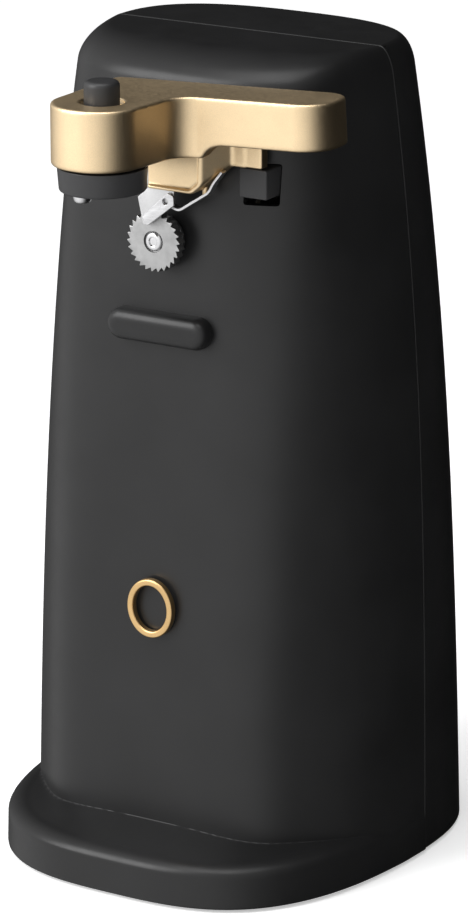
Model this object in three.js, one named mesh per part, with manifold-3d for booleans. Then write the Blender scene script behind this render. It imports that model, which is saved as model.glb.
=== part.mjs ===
// Tall electric can opener: a two-shell housing on a flared base, a press lever that carries the
// cutter and a floating magnet, and the gear train and motor that turn the drive wheel.
// Millimetres, +Z up, the front faces -Y and +X is to the right seen from the front.
import * as THREE from 'three';
import { mergeVertices } from 'three/addons/utils/BufferGeometryUtils.js';
import Module from 'manifold-3d';

const wasm = await Module();
wasm.setup();

// ---------------------------------------------------------------- driving dimensions

const gap = 0.3; // between pieces that seat on or in each other
const wall = 2.6; // moulded wall of the housing

const housing = {
  height: 240, floor: 1.0, // top of the housing, and its lower rim above the table
  halfWidth: 61.3, sideTaper: 3.3, sideCurve: 11.4, // half width at the foot and what it loses going up
  front: -27.1, frontLean: 7.0, frontCurve: 7.2, // front face at the foot and how it leans back
  back: 82.6, backLean: 15.9, backCurve: 4.9, // the same for the back face
  seam: 27.3, // plane where the two shells meet, at the widest place
  backSquareness: 2.66, // superellipse exponent of the back's plan outline
  bevelTurn: 0.7226, bevel: 0.737, bevelEase: 3.4, // direction and reach of the bevelled front corners
  crispness: 15, crispLoss: 10.5, // how crisp those corners are at the foot, and what they lose going up
  topDrop: 7.9, topSide: 3.6, topFront: 17.5, topBack: 4.5, // height and run-in of the rounded top
};
const base = {
  sideStep: 0.9, reach: 21.7, middle: 53, squareness: 3.0, // how far the foot stands out, and its outline
  shoulder: 10.4, round: 3.5, slope: 2.5, // top of its upright rim, its rounded edge and its sloping top
};
const head = { wheelBelowTop: 51.4, leverBelowTop: 6.2 };
const wheel = { radius: 8.7, thickness: 3.0, standOff: 3.4, teeth: 26, toothDepth: 1.0, bore: 2.3 };
const shaft = { radius: 3.1, noseRadius: 2.0 };
const lever = {
  noseHeight: 17.2, barHeight: 13.2, // depth of the nose round the magnet post, and of the press bar
  noseX: -0.4, noseAhead: 34.15, noseRadius: 12.5, // centre and radius of the rounded nose
  reach: 55.2, frontAhead: 16.45, backAhead: 3.2, // end of the bar, and its front and back at the root
  barSlope: 0.208, // the bar runs back by this much for each mm to the right
  pivotX: -8, pivotBelowTop: 7.8,
};
const magnet = {
  x: 0.5, ahead: 32.85, postRadius: 4.95, postRise: 5.9, holderRadius: 12.5, holderHeight: 6.8, float: 0.6,
};
const cutter = { ahead: 0.65, thickness: 1.0 }; // the blade's back face is just ahead of the wheel
const plunger = { x: 28.7, width: 9.0, height: 8.5, ahead: 0.25, travel: 2.5, play: 0.5 };
const canRest = { width: 35, height: 9.2, depth: 4.6, belowWheel: 25.8 };
const badge = { z: 81, width: 15.2, height: 17.6, band: 2.0, thickness: 1.5 };
const gears = {
  module: 1.25, driveTeeth: 40, pinionTeeth: 12, fineModule: 0.8, largeTeeth: 50, motorTeeth: 10,
};
const motor = { rotorRadius: 13, stack: 26, shaftRadius: 1.5, coreHalfWidth: 27 };
const inlet = { z: 18, bore: 3.4, sleeve: 4.6, flange: 6.6 };
const foot = { radius: 6, height: 1.9, sideRoom: 16.6, frontRoom: 11.2, backRoom: 12.0 };
const boss = { radius: 5, sideRoom: 11.7, frontRoom: 18.5, backRoom: 19.0 };
const plate = { thickness: 1.6, sideRoom: 2.6, coreRoom: 3, postInset: 5.5, topRoom: 5 };
const coverThickness = 2.4;

// ---------------------------------------------------------------- derived places

const wheelZ = housing.height - head.wheelBelowTop;
const leverTop = housing.height - head.leverBelowTop;
const barBottom = leverTop - lever.barHeight;
const noseBottom = leverTop - lever.noseHeight;
const pivotZ = leverTop - lever.pivotBelowTop;
const wheelBack = frontAt(wheelZ) - wheel.standOff;
const wheelFront = wheelBack - wheel.thickness;
// what is ahead of the housing's front face at the wheel's height
const aheadOfFace = (distance) => frontAt(wheelZ) - distance;
const noseY = aheadOfFace(lever.noseAhead);
const magnetY = aheadOfFace(magnet.ahead);
const bladeBack = wheelFront - cutter.ahead;
const bladeFront = bladeBack - cutter.thickness;
const drivePitch = gears.module * gears.driveTeeth / 2;
const pinionPitch = gears.module * gears.pinionTeeth / 2;
const largePitch = gears.fineModule * gears.largeTeeth / 2;
const motorPitch = gears.fineModule * gears.motorTeeth / 2;
const middleZ = wheelZ - drivePitch - pinionPitch;
const motorZ = middleZ - largePitch - motorPitch;
const plateTop = wheelZ + drivePitch + plate.topRoom;
// the gear frame, in layers from the front wall backwards
const platesFront = frontAt(plateTop) + wall + 3.2;
const driveGearY = [platesFront + plate.thickness + 1, platesFront + plate.thickness + 6];
const largeGearY = [driveGearY[1] + 0.8, driveGearY[1] + 4.8];
const rearPlateY = largeGearY[1] + 1.4;
const coreY = [rearPlateY + plate.thickness + 6, rearPlateY + plate.thickness + 6 + motor.stack];

// ---------------------------------------------------------------- solids

// A closed geometry as a solid, turned right way out.
function solidOf(geometry) {
  const bare = geometry.clone();
  for (const name of Object.keys(bare.attributes)) {
    if (name !== 'position') bare.deleteAttribute(name);
  }
  const merged = mergeVertices(bare, 1e-4);
  const points = merged.attributes.position.array;
  const faces = Array.from(merged.index.array);
  const solid = [];
  let volume = 0;
  for (let i = 0; i < faces.length; i += 3) {
    const [a, b, c] = faces.slice(i, i + 3);
    if (a === b || b === c || a === c) continue;
    solid.push(a, b, c);
    const [p, q, r] = [a, b, c].map((v) => new THREE.Vector3().fromArray(points, 3 * v));
    volume += p.dot(q.cross(r));
  }
  if (volume < 0) solid.reverse();
  return new wasm.Manifold(new wasm.Mesh({
    numProp: 3, vertProperties: new Float32Array(points), triVerts: new Uint32Array(solid),
  }));
}

function geometryOf(solid) {
  const mesh = solid.getMesh();
  const geometry = new THREE.BufferGeometry();
  geometry.setAttribute('position', new THREE.BufferAttribute(mesh.vertProperties, 3));
  geometry.setIndex(new THREE.BufferAttribute(mesh.triVerts, 1));
  geometry.computeVertexNormals();
  return geometry;
}

function block(x0, x1, y0, y1, z0, z1) {
  const box = new THREE.BoxGeometry(x1 - x0, y1 - y0, z1 - z0);
  return solidOf(box.translate((x0 + x1) / 2, (y0 + y1) / 2, (z0 + z1) / 2));
}

function rodY(radius, x, z, y0, y1, sides = 24) {
  const rod = new THREE.CylinderGeometry(radius, radius, y1 - y0, sides);
  return solidOf(rod.translate(x, (y0 + y1) / 2, z));
}

function rodZ(radius, x, y, z0, z1, sides = 24) {
  const rod = new THREE.CylinderGeometry(radius, radius, z1 - z0, sides);
  return solidOf(rod.rotateX(Math.PI / 2).translate(x, y, (z0 + z1) / 2));
}

// A flat outline in X and Z, thickened from y0 back to y1.
function plateY(shape, y0, y1, segments = 8) {
  const options = { depth: y1 - y0, bevelEnabled: false, curveSegments: segments };
  const slab = new THREE.ExtrudeGeometry(shape, options);
  return solidOf(slab.rotateX(Math.PI / 2).translate(0, y1, 0));
}

// A flat outline in X and Y, thickened from z0 up to z1.
function plateZ(shape, z0, z1, segments = 8) {
  const options = { depth: z1 - z0, bevelEnabled: false, curveSegments: segments };
  const slab = new THREE.ExtrudeGeometry(shape, options);
  return solidOf(slab.translate(0, 0, z0));
}

// A profile of [radius, height] points, turned about an upright axis through x, y.
function turnedZ(profile, x, y, sides = 24) {
  const lathe = new THREE.LatheGeometry(profile.map((p) => new THREE.Vector2(...p)), sides);
  return solidOf(lathe.rotateX(Math.PI / 2).translate(x, y, 0));
}

// A profile of [radius, y] points, turned about an axis along Y through x, z.
function turnedY(profile, x, z, sides = 24) {
  const lathe = new THREE.LatheGeometry(profile.map((p) => new THREE.Vector2(...p)), sides);
  return solidOf(lathe.translate(x, 0, z));
}

// A closed outline of [u, v, radius] corners, each rounded by its radius.
function roundedOutline(corners) {
  const shape = new THREE.Shape();
  corners.forEach(([u, v, radius], i) => {
    const here = new THREE.Vector2(u, v);
    const before = new THREE.Vector2(...corners.at(i - 1)).sub(here);
    const after = new THREE.Vector2(...corners[(i + 1) % corners.length]).sub(here);
    const half = before.angleTo(after) / 2;
    const back = radius / Math.tan(half);
    const start = here.clone().addScaledVector(before.normalize(), back);
    const end = here.clone().addScaledVector(after.normalize(), back);
    const steps = radius > 0 ? Math.max(2, Math.ceil((Math.PI - 2 * half) / 0.36)) : 0;
    const centre = here.clone().addScaledVector(before.add(after).normalize(), radius / Math.sin(half));
    const from = start.clone().sub(centre).angle();
    let sweep = end.clone().sub(centre).angle() - from;
    if (sweep > Math.PI) sweep -= 2 * Math.PI;
    if (sweep < -Math.PI) sweep += 2 * Math.PI;
    for (let k = 0; k <= steps; k += 1) {
      const turn = from + sweep * (steps ? k / steps : 0);
      const point = radius > 0
        ? centre.clone().add(new THREE.Vector2(Math.cos(turn), Math.sin(turn)).multiplyScalar(radius))
        : here;
      if (i === 0 && k === 0) shape.moveTo(point.x, point.y);
      else shape.lineTo(point.x, point.y);
    }
  });
  shape.closePath();
  return shape;
}

function roundedBox(halfWidth, halfHeight, radius, x = 0, z = 0) {
  return roundedOutline([
    [x - halfWidth, z - halfHeight, radius], [x + halfWidth, z - halfHeight, radius],
    [x + halfWidth, z + halfHeight, radius], [x - halfWidth, z + halfHeight, radius],
  ]);
}

// ---------------------------------------------------------------- housing surface

function frontAt(z) {
  const up = z / housing.height;
  return housing.front + housing.frontLean * up + housing.frontCurve * up * up;
}

function backAt(z) {
  const up = z / housing.height;
  return housing.back - housing.backLean * up - housing.backCurve * up * up;
}

function halfWidthAt(z) {
  const up = z / housing.height;
  return housing.halfWidth - housing.sideTaper * up - housing.sideCurve * up ** 3;
}

// How far the front half of the plan reaches along a direction: a flat face between bevelled corners.
function frontReach(c, s, side, ahead, up) {
  const power = housing.crispness - housing.crispLoss * up ** 2;
  const [across, along] = [Math.cos(housing.bevelTurn), Math.sin(housing.bevelTurn)];
  const bevel = (housing.bevel + housing.bevelEase / power ** 2) * (side * across + ahead * along);
  const sum = (side ** -power - (across / bevel) ** power) * Math.abs(c) ** power
    + (ahead ** -power - (along / bevel) ** power) * Math.abs(s) ** power
    + ((Math.abs(c) * across + Math.abs(s) * along) / bevel) ** power;
  return sum ** (-1 / power);
}

const planSides = 52;

// Plan outline of the tower at a height, set in from the outer surface.
function towerRing(z, inset) {
  const top = housing.height - inset;
  const rise = Math.min(1, Math.max(0, (z - (top - housing.topDrop)) / housing.topDrop));
  const roll = 1 - Math.sqrt(1 - rise * rise);
  const side = halfWidthAt(z) - inset - housing.topSide * roll;
  const ahead = housing.seam - frontAt(z) - inset - housing.topFront * roll;
  const behind = backAt(z) - housing.seam - inset - housing.topBack * roll;
  const points = [];
  for (let i = 0; i < planSides; i += 1) {
    const turn = (2 * Math.PI * i) / planSides;
    const [c, s] = [Math.cos(turn), Math.sin(turn)];
    if (s < 0) {
      const reach = frontReach(c, s, side, ahead, z / housing.height);
      points.push([c * reach, housing.seam + s * reach, z]);
    } else {
      const power = 2 / housing.backSquareness;
      points.push([side * Math.sign(c) * Math.abs(c) ** power, housing.seam + behind * s ** power, z]);
    }
  }
  return points;
}

// Plan outline of the flared foot, set in from its outer surface. Only its front half shows.
function footRing(z, inset) {
  const side = housing.halfWidth + base.sideStep - inset;
  const ahead = base.middle - housing.front + base.reach - inset;
  const power = 2 / base.squareness;
  const points = [];
  for (let i = 0; i < planSides; i += 1) {
    const turn = (2 * Math.PI * i) / planSides;
    const [c, s] = [Math.cos(turn), Math.sin(turn)];
    const x = side * Math.sign(c) * Math.abs(c) ** power;
    points.push([x, base.middle + (s < 0 ? -ahead * Math.abs(s) ** power : 4 * s), z]);
  }
  return points;
}

function loft(rings) {
  const points = rings.flat(2);
  const sides = rings[0].length;
  const faces = [];
  for (let level = 0; level + 1 < rings.length; level += 1) {
    for (let i = 0; i < sides; i += 1) {
      const [a, b] = [level * sides + i, level * sides + ((i + 1) % sides)];
      faces.push(a, b, b + sides, a, b + sides, a + sides);
    }
  }
  for (const level of [0, rings.length - 1]) {
    const middle = points.length / 3;
    const centre = [0, 1, 2].map((k) => rings[level].reduce((sum, p) => sum + p[k], 0) / sides);
    points.push(...centre);
    for (let i = 0; i < sides; i += 1) {
      const [a, b] = [level * sides + i, level * sides + ((i + 1) % sides)];
      faces.push(...(level ? [a, b, middle] : [b, a, middle]));
    }
  }
  const geometry = new THREE.BufferGeometry();
  geometry.setAttribute('position', new THREE.BufferAttribute(new Float32Array(points), 3));
  geometry.setIndex(faces);
  return solidOf(geometry);
}

// The tower as a solid, set in from the outer surface, from z0 to its top.
function tower(z0, inset) {
  const roundFrom = housing.height - inset - housing.topDrop;
  const heights = [0, 0.2, 0.4, 0.58, 0.74, 0.88, 1].map((t) => z0 + t * (roundFrom - z0));
  for (const turn of [0.25, 0.5, 0.75, 1]) {
    heights.push(roundFrom + housing.topDrop * Math.sin((turn * Math.PI) / 2));
  }
  return loft(heights.map((z) => towerRing(z, inset)));
}

// The flared foot: an upright rim, a rounded shoulder and a low slope up to the tower.
function flare(z0, inset) {
  const shoulder = base.shoulder - inset;
  const steps = [[z0, 0.5], [z0 + 0.8, 0], [shoulder, 0.2]];
  for (const turn of [0.33, 0.67, 1]) {
    const angle = (turn * Math.PI) / 2;
    steps.push([shoulder + base.round * Math.sin(angle), 0.2 + 5.5 * (1 - Math.cos(angle))]);
  }
  steps.push([shoulder + base.round + base.slope, base.reach + 3]);
  return loft(steps.map(([z, runIn]) => footRing(z, inset + runIn)));
}

const far = 200;
const frontHalf = block(-far, far, -far, housing.seam, -far, 2 * far);
const backHalf = block(-far, far, housing.seam + gap, far, -far, 2 * far);

function screwBoss(x, y) {
  return rodZ(boss.radius, x, y, housing.floor + coverThickness + 1.6, 26, 16);
}

const bossX = housing.halfWidth - wall - boss.sideRoom;
const bossFront = housing.front + wall + boss.frontRoom;
const bossBack = housing.back - wall - boss.backRoom;
const frontBosses = [[-bossX, bossFront], [bossX, bossFront]];
const backBosses = [[-bossX, bossBack], [bossX, bossBack]];

function frontShell() {
  const outside = tower(housing.floor, 0).add(flare(housing.floor, 0));
  const inside = tower(-5, wall).add(flare(-5, wall));
  let shell = outside.subtract(inside);
  for (const [x, y] of frontBosses) shell = shell.add(screwBoss(x, y).intersect(outside));
  shell = shell.intersect(frontHalf);
  for (const [x, y] of frontBosses) shell = shell.subtract(rodZ(1.8, x, y, -5, 20, 16));
  shell = shell.subtract(rodY(bushing.sleeve + gap, 0, wheelZ, -60, 10));
  shell = shell.subtract(rodY(pivot.radius + gap, lever.pivotX, pivotZ, -60, 10, 24));
  shell = shell.subtract(block(
    plunger.x - plunger.width / 2 - gap, plunger.x + plunger.width / 2 + gap, -40, 10,
    plungerTop - plunger.height - plunger.travel - gap, plungerTop + gap,
  ));
  for (const x of badgePins) shell = shell.subtract(rodY(0.8 + gap, x, badge.z, -60, 0, 12));
  for (const x of restPegs) shell = shell.subtract(rodY(1.8 + gap, x, canRestZ, -60, 0, 16));
  return shell;
}

function rearShell() {
  const outside = tower(housing.floor, 0);
  let shell = outside.subtract(tower(-5, wall));
  for (const [x, y] of backBosses) shell = shell.add(screwBoss(x, y).intersect(outside));
  shell = shell.intersect(backHalf);
  for (const [x, y] of backBosses) shell = shell.subtract(rodZ(1.8, x, y, -5, 20, 16));
  return shell.subtract(rodY(inlet.sleeve + gap, 0, inlet.z, 50, 100));
}

// The cover closes the foot from below, inside both shells.
function bottomCover() {
  const edge = wall + gap;
  const z0 = foot.height + gap;
  const frontPart = loft([z0, z0 + coverThickness].map((z) => footRing(z, edge + 0.3)))
    .intersect(block(-far, far, -far, housing.seam, -far, far));
  const backPart = loft([z0, z0 + coverThickness].map((z) => towerRing(z, edge)))
    .intersect(block(-far, far, housing.seam - 1, far, -far, far));
  let cover = frontPart.add(backPart);
  for (const [x, y] of [...frontBosses, ...backBosses]) cover = cover.subtract(rodZ(1.8, x, y, -5, 20, 16));
  return cover;
}

// ---------------------------------------------------------------- front trim

const canRestZ = wheelZ - canRest.belowWheel;
const restPegs = [-9, 9];
const badgePins = [-(badge.width - badge.band) / 2, (badge.width - badge.band) / 2];

function canRestBar() {
  const back = frontAt(canRestZ + canRest.height / 2) - gap - 0.9;
  const front = frontAt(canRestZ) - canRest.depth;
  const grow = (inset) => roundedBox(
    canRest.width / 2 - inset, canRest.height / 2 - inset, canRest.height / 2 - inset - 0.05, 0, canRestZ,
  );
  let bar = plateY(grow(0), front + 1.6, back);
  bar = bar.add(plateY(grow(0.5), front + 0.6, back)).add(plateY(grow(1.4), front, back));
  for (const x of restPegs) bar = bar.add(rodY(1.8, x, canRestZ, back - 0.5, back + wall + 3, 16));
  return bar;
}

// A plain oval ring with two pins that go through the front wall.
function badgeRing() {
  const back = frontAt(badge.z + badge.height / 2) - gap - 1.2;
  const oval = (inset) => {
    const shape = new THREE.Shape();
    shape.absellipse(0, badge.z, badge.width / 2 - inset, badge.height / 2 - inset, 0, 2 * Math.PI);
    return shape;
  };
  const body = plateY(oval(0), back - badge.thickness, back, 12)
    .add(plateY(oval(0.4), back - badge.thickness - 0.4, back, 12));
  let ringBody = body.subtract(plateY(oval(badge.band), back - 10, back + 10, 12));
  for (const x of badgePins) ringBody = ringBody.add(rodY(0.8, x, badge.z, back - 1, back + wall + 3, 12));
  return ringBody;
}

// ---------------------------------------------------------------- lever and what rides on it

const pivot = { radius: 3.0, depth: 15 };
const plungerTop = barBottom - 8.8;
const skirtBottom = noseBottom - 12;
const barBackAt = (x) => aheadOfFace(lever.backAhead) + lever.barSlope * (x + 13.4);
const barFrontAt = (x) => aheadOfFace(lever.frontAhead) + lever.barSlope * (x - 14.7);

// Plan outline of the lever: a round nose at the front left and a bar to the right.
function leverOutline(grow) {
  const noseFront = noseY - lever.noseRadius - grow;
  const noseLeft = lever.noseX - lever.noseRadius - grow;
  const noseRight = lever.noseX + lever.noseRadius + grow;
  return roundedOutline([
    [noseLeft, noseFront, lever.noseRadius - 0.2 + grow],
    [noseRight, noseFront, lever.noseRadius - 0.2 + grow],
    [noseRight + 2.6, barFrontAt(noseRight + 2.6) - grow, 8 - grow],
    [lever.reach + grow, barFrontAt(lever.reach) - grow, 10 + grow],
    [lever.reach - 0.6 + grow, barBackAt(lever.reach), 6 + grow],
    [noseLeft - 1.4, barBackAt(noseLeft - 1.4), 3 + grow],
  ]);
}

// Plan outline of the cutter housing below the lever: a front wall that turns back to the press tab.
const skirt = {
  left: -0.4, right: 17.6, front: aheadOfFace(9.65), back: aheadOfFace(0.75),
  tabLeft: 23.4, tabRight: 32.7, tabFront: aheadOfFace(2.05), tabRise: 7.7,
};

function leverBody() {
  const nose = plateZ(leverOutline(0.35), noseBottom, barBottom + 1)
    .intersect(block(-far, 14.5, -far, far, -far, 2 * far))
    .intersect(block(-far, far, -far, barFrontAt(0) + 8, -far, 2 * far));
  let body = plateZ(leverOutline(0.6), barBottom, barBottom + 5)
    .add(plateZ(leverOutline(0.3), barBottom + 4, leverTop - 4))
    .add(plateZ(leverOutline(0), leverTop - 5, leverTop - 0.7))
    .add(plateZ(leverOutline(-0.6), leverTop - 1, leverTop));
  const skirtPlan = roundedOutline([
    [skirt.left, skirt.front, 1], [skirt.right, skirt.front, 1.5], [skirt.tabLeft, skirt.tabFront, 2],
    [skirt.tabLeft + 4, skirt.tabFront, 0], [skirt.tabLeft + 4, skirt.back, 0], [skirt.left, skirt.back, 0],
  ]);
  const skirtFace = roundedOutline([
    [skirt.left, skirtBottom, 1], [skirt.right - 3, skirtBottom, 3],
    [skirt.tabLeft, skirtBottom + skirt.tabRise, 1], [skirt.tabLeft + 4, skirtBottom + skirt.tabRise, 0],
    [skirt.tabLeft + 4, barBottom + 0.6, 0], [skirt.left, barBottom + 0.6, 0],
  ]);
  const skirtSolid = plateZ(skirtPlan, skirtBottom - 1, barBottom + 0.6)
    .intersect(plateY(skirtFace, skirt.front - 1, skirt.back + 1));
  const tab = block(skirt.tabLeft - 1, skirt.tabRight, skirt.tabFront, skirt.tabFront + 3.4,
    plungerTop + plunger.play, barBottom + 0.6);
  body = body.add(nose).add(skirtSolid).add(tab);
  // slot for the blade, bore and counterbore for the magnet post, blind bore for the pivot pin
  body = body.subtract(block(-20, 8.2, bladeFront - gap, bladeBack + gap, skirtBottom - 5, noseBottom - 3));
  body = body.subtract(rodZ(magnet.postRadius + gap, magnet.x, magnetY, 100, 400, 32));
  body = body.subtract(rodZ(magnet.postRadius + 1.2, magnet.x, magnetY, leverTop - 1.0, 400, 32));
  body = body.subtract(rodY(pivot.radius + gap, lever.pivotX, pivotZ, pinFront - gap, 40, 24));
  body = body.subtract(rodZ(1.1 + gap, peg.x, peg.y, skirtBottom - 5, skirtBottom + 6, 12));
  return body.subtract(rodY(cutterScrew.radius + gap, cutterScrew.x, cutterScrew.z, bladeBack, 40, 16));
}

const pinFront = barBackAt(lever.pivotX) - pivot.depth;
const peg = { x: 15.2, y: aheadOfFace(2.75) };
const cutterScrew = { x: 4, z: skirtBottom + 5.5, radius: 1.2 };

// The blade hangs out of the cutter housing and overlaps the top of the wheel.
function cutterBlade() {
  const outline = roundedOutline([
    [-4.0, skirtBottom - 3.2, 0.4], [-2.3, skirtBottom - 10.9, 0.4], [-0.5, skirtBottom - 10.9, 0.3],
    [7.6, skirtBottom - 4.4, 0.6], [7.9, skirtBottom - 2, 1], [7.9, noseBottom - 3 - gap, 0.5],
    [-0.8, noseBottom - 3 - gap, 0.5], [-0.8, skirtBottom - 0.3, 0.3],
  ]);
  return plateY(outline, bladeFront, bladeBack)
    .subtract(rodY(cutterScrew.radius + gap, cutterScrew.x, cutterScrew.z, -40, 0, 16));
}

// Hardened strip along the cutting edge, with the hole of its rivet.
function cutterEdge() {
  const front = bladeFront - gap;
  const outline = roundedOutline([
    [-0.4, skirtBottom - 10.9, 0.3], [8.4, skirtBottom - 4.0, 0.4], [8.3, skirtBottom - 1.2, 0.8],
    [6.3, skirtBottom - 0.7, 0.4], [-2.2, skirtBottom - 8.6, 0.4],
  ]);
  return plateY(outline, front - 0.7, front)
    .subtract(rodY(0.9, 5.6, skirtBottom - 3.2, front - 5, front + 5, 14));
}

// Comes in from behind, through the blade, so that the face of the cutter housing stays plain.
function cutterScrewBody() {
  const seat = skirt.back + gap;
  return turnedY([
    [0, bladeFront], [cutterScrew.radius, bladeFront], [cutterScrew.radius, seat], [2.2, seat],
    [1.8, seat + 0.7], [0, seat + 0.8],
  ], cutterScrew.x, cutterScrew.z, 20);
}

// Bent spring strip that keeps the can's rim on the wheel, seated on the side of the cutter housing.
function canGuide() {
  const middle = [[6.0, -5.0], [8.6, -5.9], [18.4, 0.4], [22.6, 3.4], [22.6, 7.2]];
  const half = 0.4;
  const near = [];
  const away = [];
  middle.forEach(([x, z], i) => {
    const before = middle[Math.max(0, i - 1)];
    const after = middle[Math.min(middle.length - 1, i + 1)];
    const along = new THREE.Vector2(after[0] - before[0], after[1] - before[1]).normalize();
    near.push(new THREE.Vector2(x + along.y * half, skirtBottom + z - along.x * half));
    away.unshift(new THREE.Vector2(x - along.y * half, skirtBottom + z + along.x * half));
  });
  return plateY(new THREE.Shape([...near, ...away]), skirt.front + 2.8, skirt.front + 5.5);
}

function magnetPost() {
  const top = leverTop + magnet.postRise;
  return turnedZ([
    [0, noseBottom - magnet.float + gap], [magnet.postRadius, noseBottom - magnet.float + gap],
    [magnet.postRadius, top - 1.6], [magnet.postRadius - 0.5, top - 0.5],
    [magnet.postRadius - 1.7, top], [0, top],
  ], magnet.x, magnetY, 32);
}

function magnetHolder() {
  const top = noseBottom - magnet.float;
  const bottom = top - magnet.holderHeight;
  const r = magnet.holderRadius;
  const puck = turnedZ([
    [0, bottom], [r - 1.3, bottom], [r - 0.5, bottom + 0.4], [r - 0.2, bottom + 1.2], [r, top - 0.6],
    [r - 0.6, top], [0, top],
  ], magnet.x, magnetY, 32);
  return puck
    .subtract(rodZ(magnetStud.radius + gap, magnetStud.x, magnetStud.y, bottom - 5, bottom + 3, 24))
    .subtract(rodZ(1.4 + gap, magnet.x, magnetY, bottom - 5, top + 5, 16))
    .subtract(rodZ(2.6 + gap, magnet.x, magnetY, bottom - 5, bottom + 2, 20));
}

const magnetStud = { x: magnet.x - 4.5, y: magnetY - 3.2, radius: 2.8, depth: 3.6 };

function magnetBody() {
  const seat = noseBottom - magnet.float - magnet.holderHeight;
  const tip = seat - magnetStud.depth;
  return turnedZ([
    [0, tip], [1.3, tip + 0.2], [2.4, tip + 1.0], [magnetStud.radius, tip + 2.2],
    [magnetStud.radius, seat + 3 - gap], [0, seat + 3 - gap],
  ], magnetStud.x, magnetStud.y, 24);
}

function magnetScrew() {
  const seat = noseBottom - magnet.float - magnet.holderHeight;
  return turnedZ([
    [0, seat + 0.4], [2.6, seat + 0.4], [2.6, seat + 1.7], [1.4, seat + 1.7],
    [1.4, noseBottom - magnet.float], [0, noseBottom - magnet.float],
  ], magnet.x, magnetY, 20);
}

function pivotPin() {
  const inner = frontAt(pivotZ) + wall + 10;
  return rodY(pivot.radius, lever.pivotX, pivotZ, pinFront, inner, 24)
    .add(rodY(pivot.radius + 2.4, lever.pivotX, pivotZ, inner - 1.6, inner, 24));
}

function tubeY(outer, inner, x, z, y0, y1, sides = 22) {
  return rodY(outer, x, z, y0, y1, sides).subtract(rodY(inner, x, z, y0 - 1, y1 + 1, sides));
}

// ---------------------------------------------------------------- drive wheel and gear train

const bushing = { sleeve: 5.0, flange: 7.0 };

// Saw teeth: a short steep face and a long slope.
function sawOutline(radius, depth, teeth) {
  const points = [];
  for (let i = 0; i < teeth; i += 1) {
    const start = (2 * Math.PI * i) / teeth;
    const tip = start + (2 * Math.PI * 0.2) / teeth;
    const land = start + (2 * Math.PI * 0.42) / teeth;
    points.push(new THREE.Vector2((radius - depth) * Math.cos(start), (radius - depth) * Math.sin(start)));
    points.push(new THREE.Vector2(radius * Math.cos(tip), radius * Math.sin(tip)));
    points.push(new THREE.Vector2((radius - 0.15) * Math.cos(land), (radius - 0.15) * Math.sin(land)));
  }
  return new THREE.Shape(points);
}

function driveWheel() {
  return plateY(sawOutline(wheel.radius, wheel.toothDepth, wheel.teeth), wheelFront, wheelBack)
    .subtract(rodY(wheel.bore, 0, 0, wheelFront - 5, wheelBack + 5, 24))
    .translate([0, 0, wheelZ]);
}

function driveShaft() {
  const nose = wheelFront + gap;
  return turnedY([
    [0, nose], [shaft.noseRadius, nose], [shaft.noseRadius, wheelBack + gap], [shaft.radius, wheelBack + gap],
    [shaft.radius, rearPlateY + plate.thickness], [0, rearPlateY + plate.thickness],
  ], 0, wheelZ, 28).subtract(rodY(1.1 + gap, 0, wheelZ, nose - 5, nose + 9, 14));
}

function wheelScrew() {
  const seat = wheelFront - gap;
  return turnedY([
    [0, seat - 0.7], [2.2, seat - 0.6], [2.75, seat - 0.2], [2.75, seat],
    [1.1, seat], [1.1, seat + 8], [0, seat + 8],
  ], 0, wheelZ, 24).subtract(rodY(1.2, 0, wheelZ, seat - 3, seat - 0.3, 6));
}

function wheelBushing() {
  const seat = frontAt(wheelZ - bushing.flange) - gap;
  return turnedY([
    [shaft.radius + gap, seat - 1.2], [bushing.flange, seat - 1.2], [bushing.flange, seat],
    [bushing.sleeve, seat], [bushing.sleeve, platesFront - gap], [shaft.radius + gap, platesFront - gap],
    [shaft.radius + gap, seat - 1.2],
  ], 0, wheelZ, 28);
}

// A spur gear with straight-sided teeth; a tooth or a gap points along the angle phase.
function gearOutline(teeth, module, phase) {
  const pitch = (module * teeth) / 2;
  const step = (2 * Math.PI) / teeth;
  const points = [];
  for (let i = 0; i < teeth; i += 1) {
    for (const [radius, share] of [[pitch - 1.15 * module, -0.29], [pitch + 0.85 * module, -0.11],
      [pitch + 0.85 * module, 0.11], [pitch - 1.15 * module, 0.29]]) {
      const turn = phase + (i + share) * step;
      points.push(new THREE.Vector2(radius * Math.cos(turn), radius * Math.sin(turn)));
    }
  }
  return new THREE.Shape(points);
}

const down = -Math.PI / 2;
const gapUp = (teeth) => Math.PI / 2 + Math.PI / teeth;

function driveGear() {
  const holes = [0, 1, 2, 3, 4].map((i) => (2 * Math.PI * i) / 5);
  let gear = plateY(gearOutline(gears.driveTeeth, gears.module, down), ...driveGearY)
    .add(rodY(7, 0, 0, driveGearY[0] - 0.6, driveGearY[1] + 0.5));
  for (const turn of holes) {
    gear = gear.subtract(rodY(4, 14.5 * Math.cos(turn), 14.5 * Math.sin(turn), -60, 60, 12));
  }
  return gear.subtract(rodY(shaft.radius + gap, 0, 0, -60, 60, 24)).translate([0, 0, wheelZ]);
}

function middleGear() {
  return plateY(gearOutline(gears.pinionTeeth, gears.module, gapUp(gears.pinionTeeth)),
    driveGearY[0] - 0.4, largeGearY[0] + 0.5)
    .add(plateY(gearOutline(gears.largeTeeth, gears.fineModule, down), ...largeGearY))
    .subtract(rodY(2 + gap, 0, 0, -60, 60, 14)).translate([0, 0, middleZ]);
}

function motorPinion() {
  return plateY(gearOutline(gears.motorTeeth, gears.fineModule, gapUp(gears.motorTeeth)),
    largeGearY[0] - 0.3, largeGearY[1] + 0.7)
    .subtract(rodY(motor.shaftRadius + gap, 0, 0, -60, 60, 16)).translate([0, 0, motorZ]);
}

// how far the room inside the housing reaches sideways, at a height and a depth
function roomAt(z, y) {
  const side = halfWidthAt(z) - wall;
  const ahead = housing.seam - frontAt(z) - wall;
  let x = side;
  while (frontReach(x, housing.seam - y, side, ahead, z / housing.height) < 1) x -= 0.05;
  return x;
}

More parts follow.
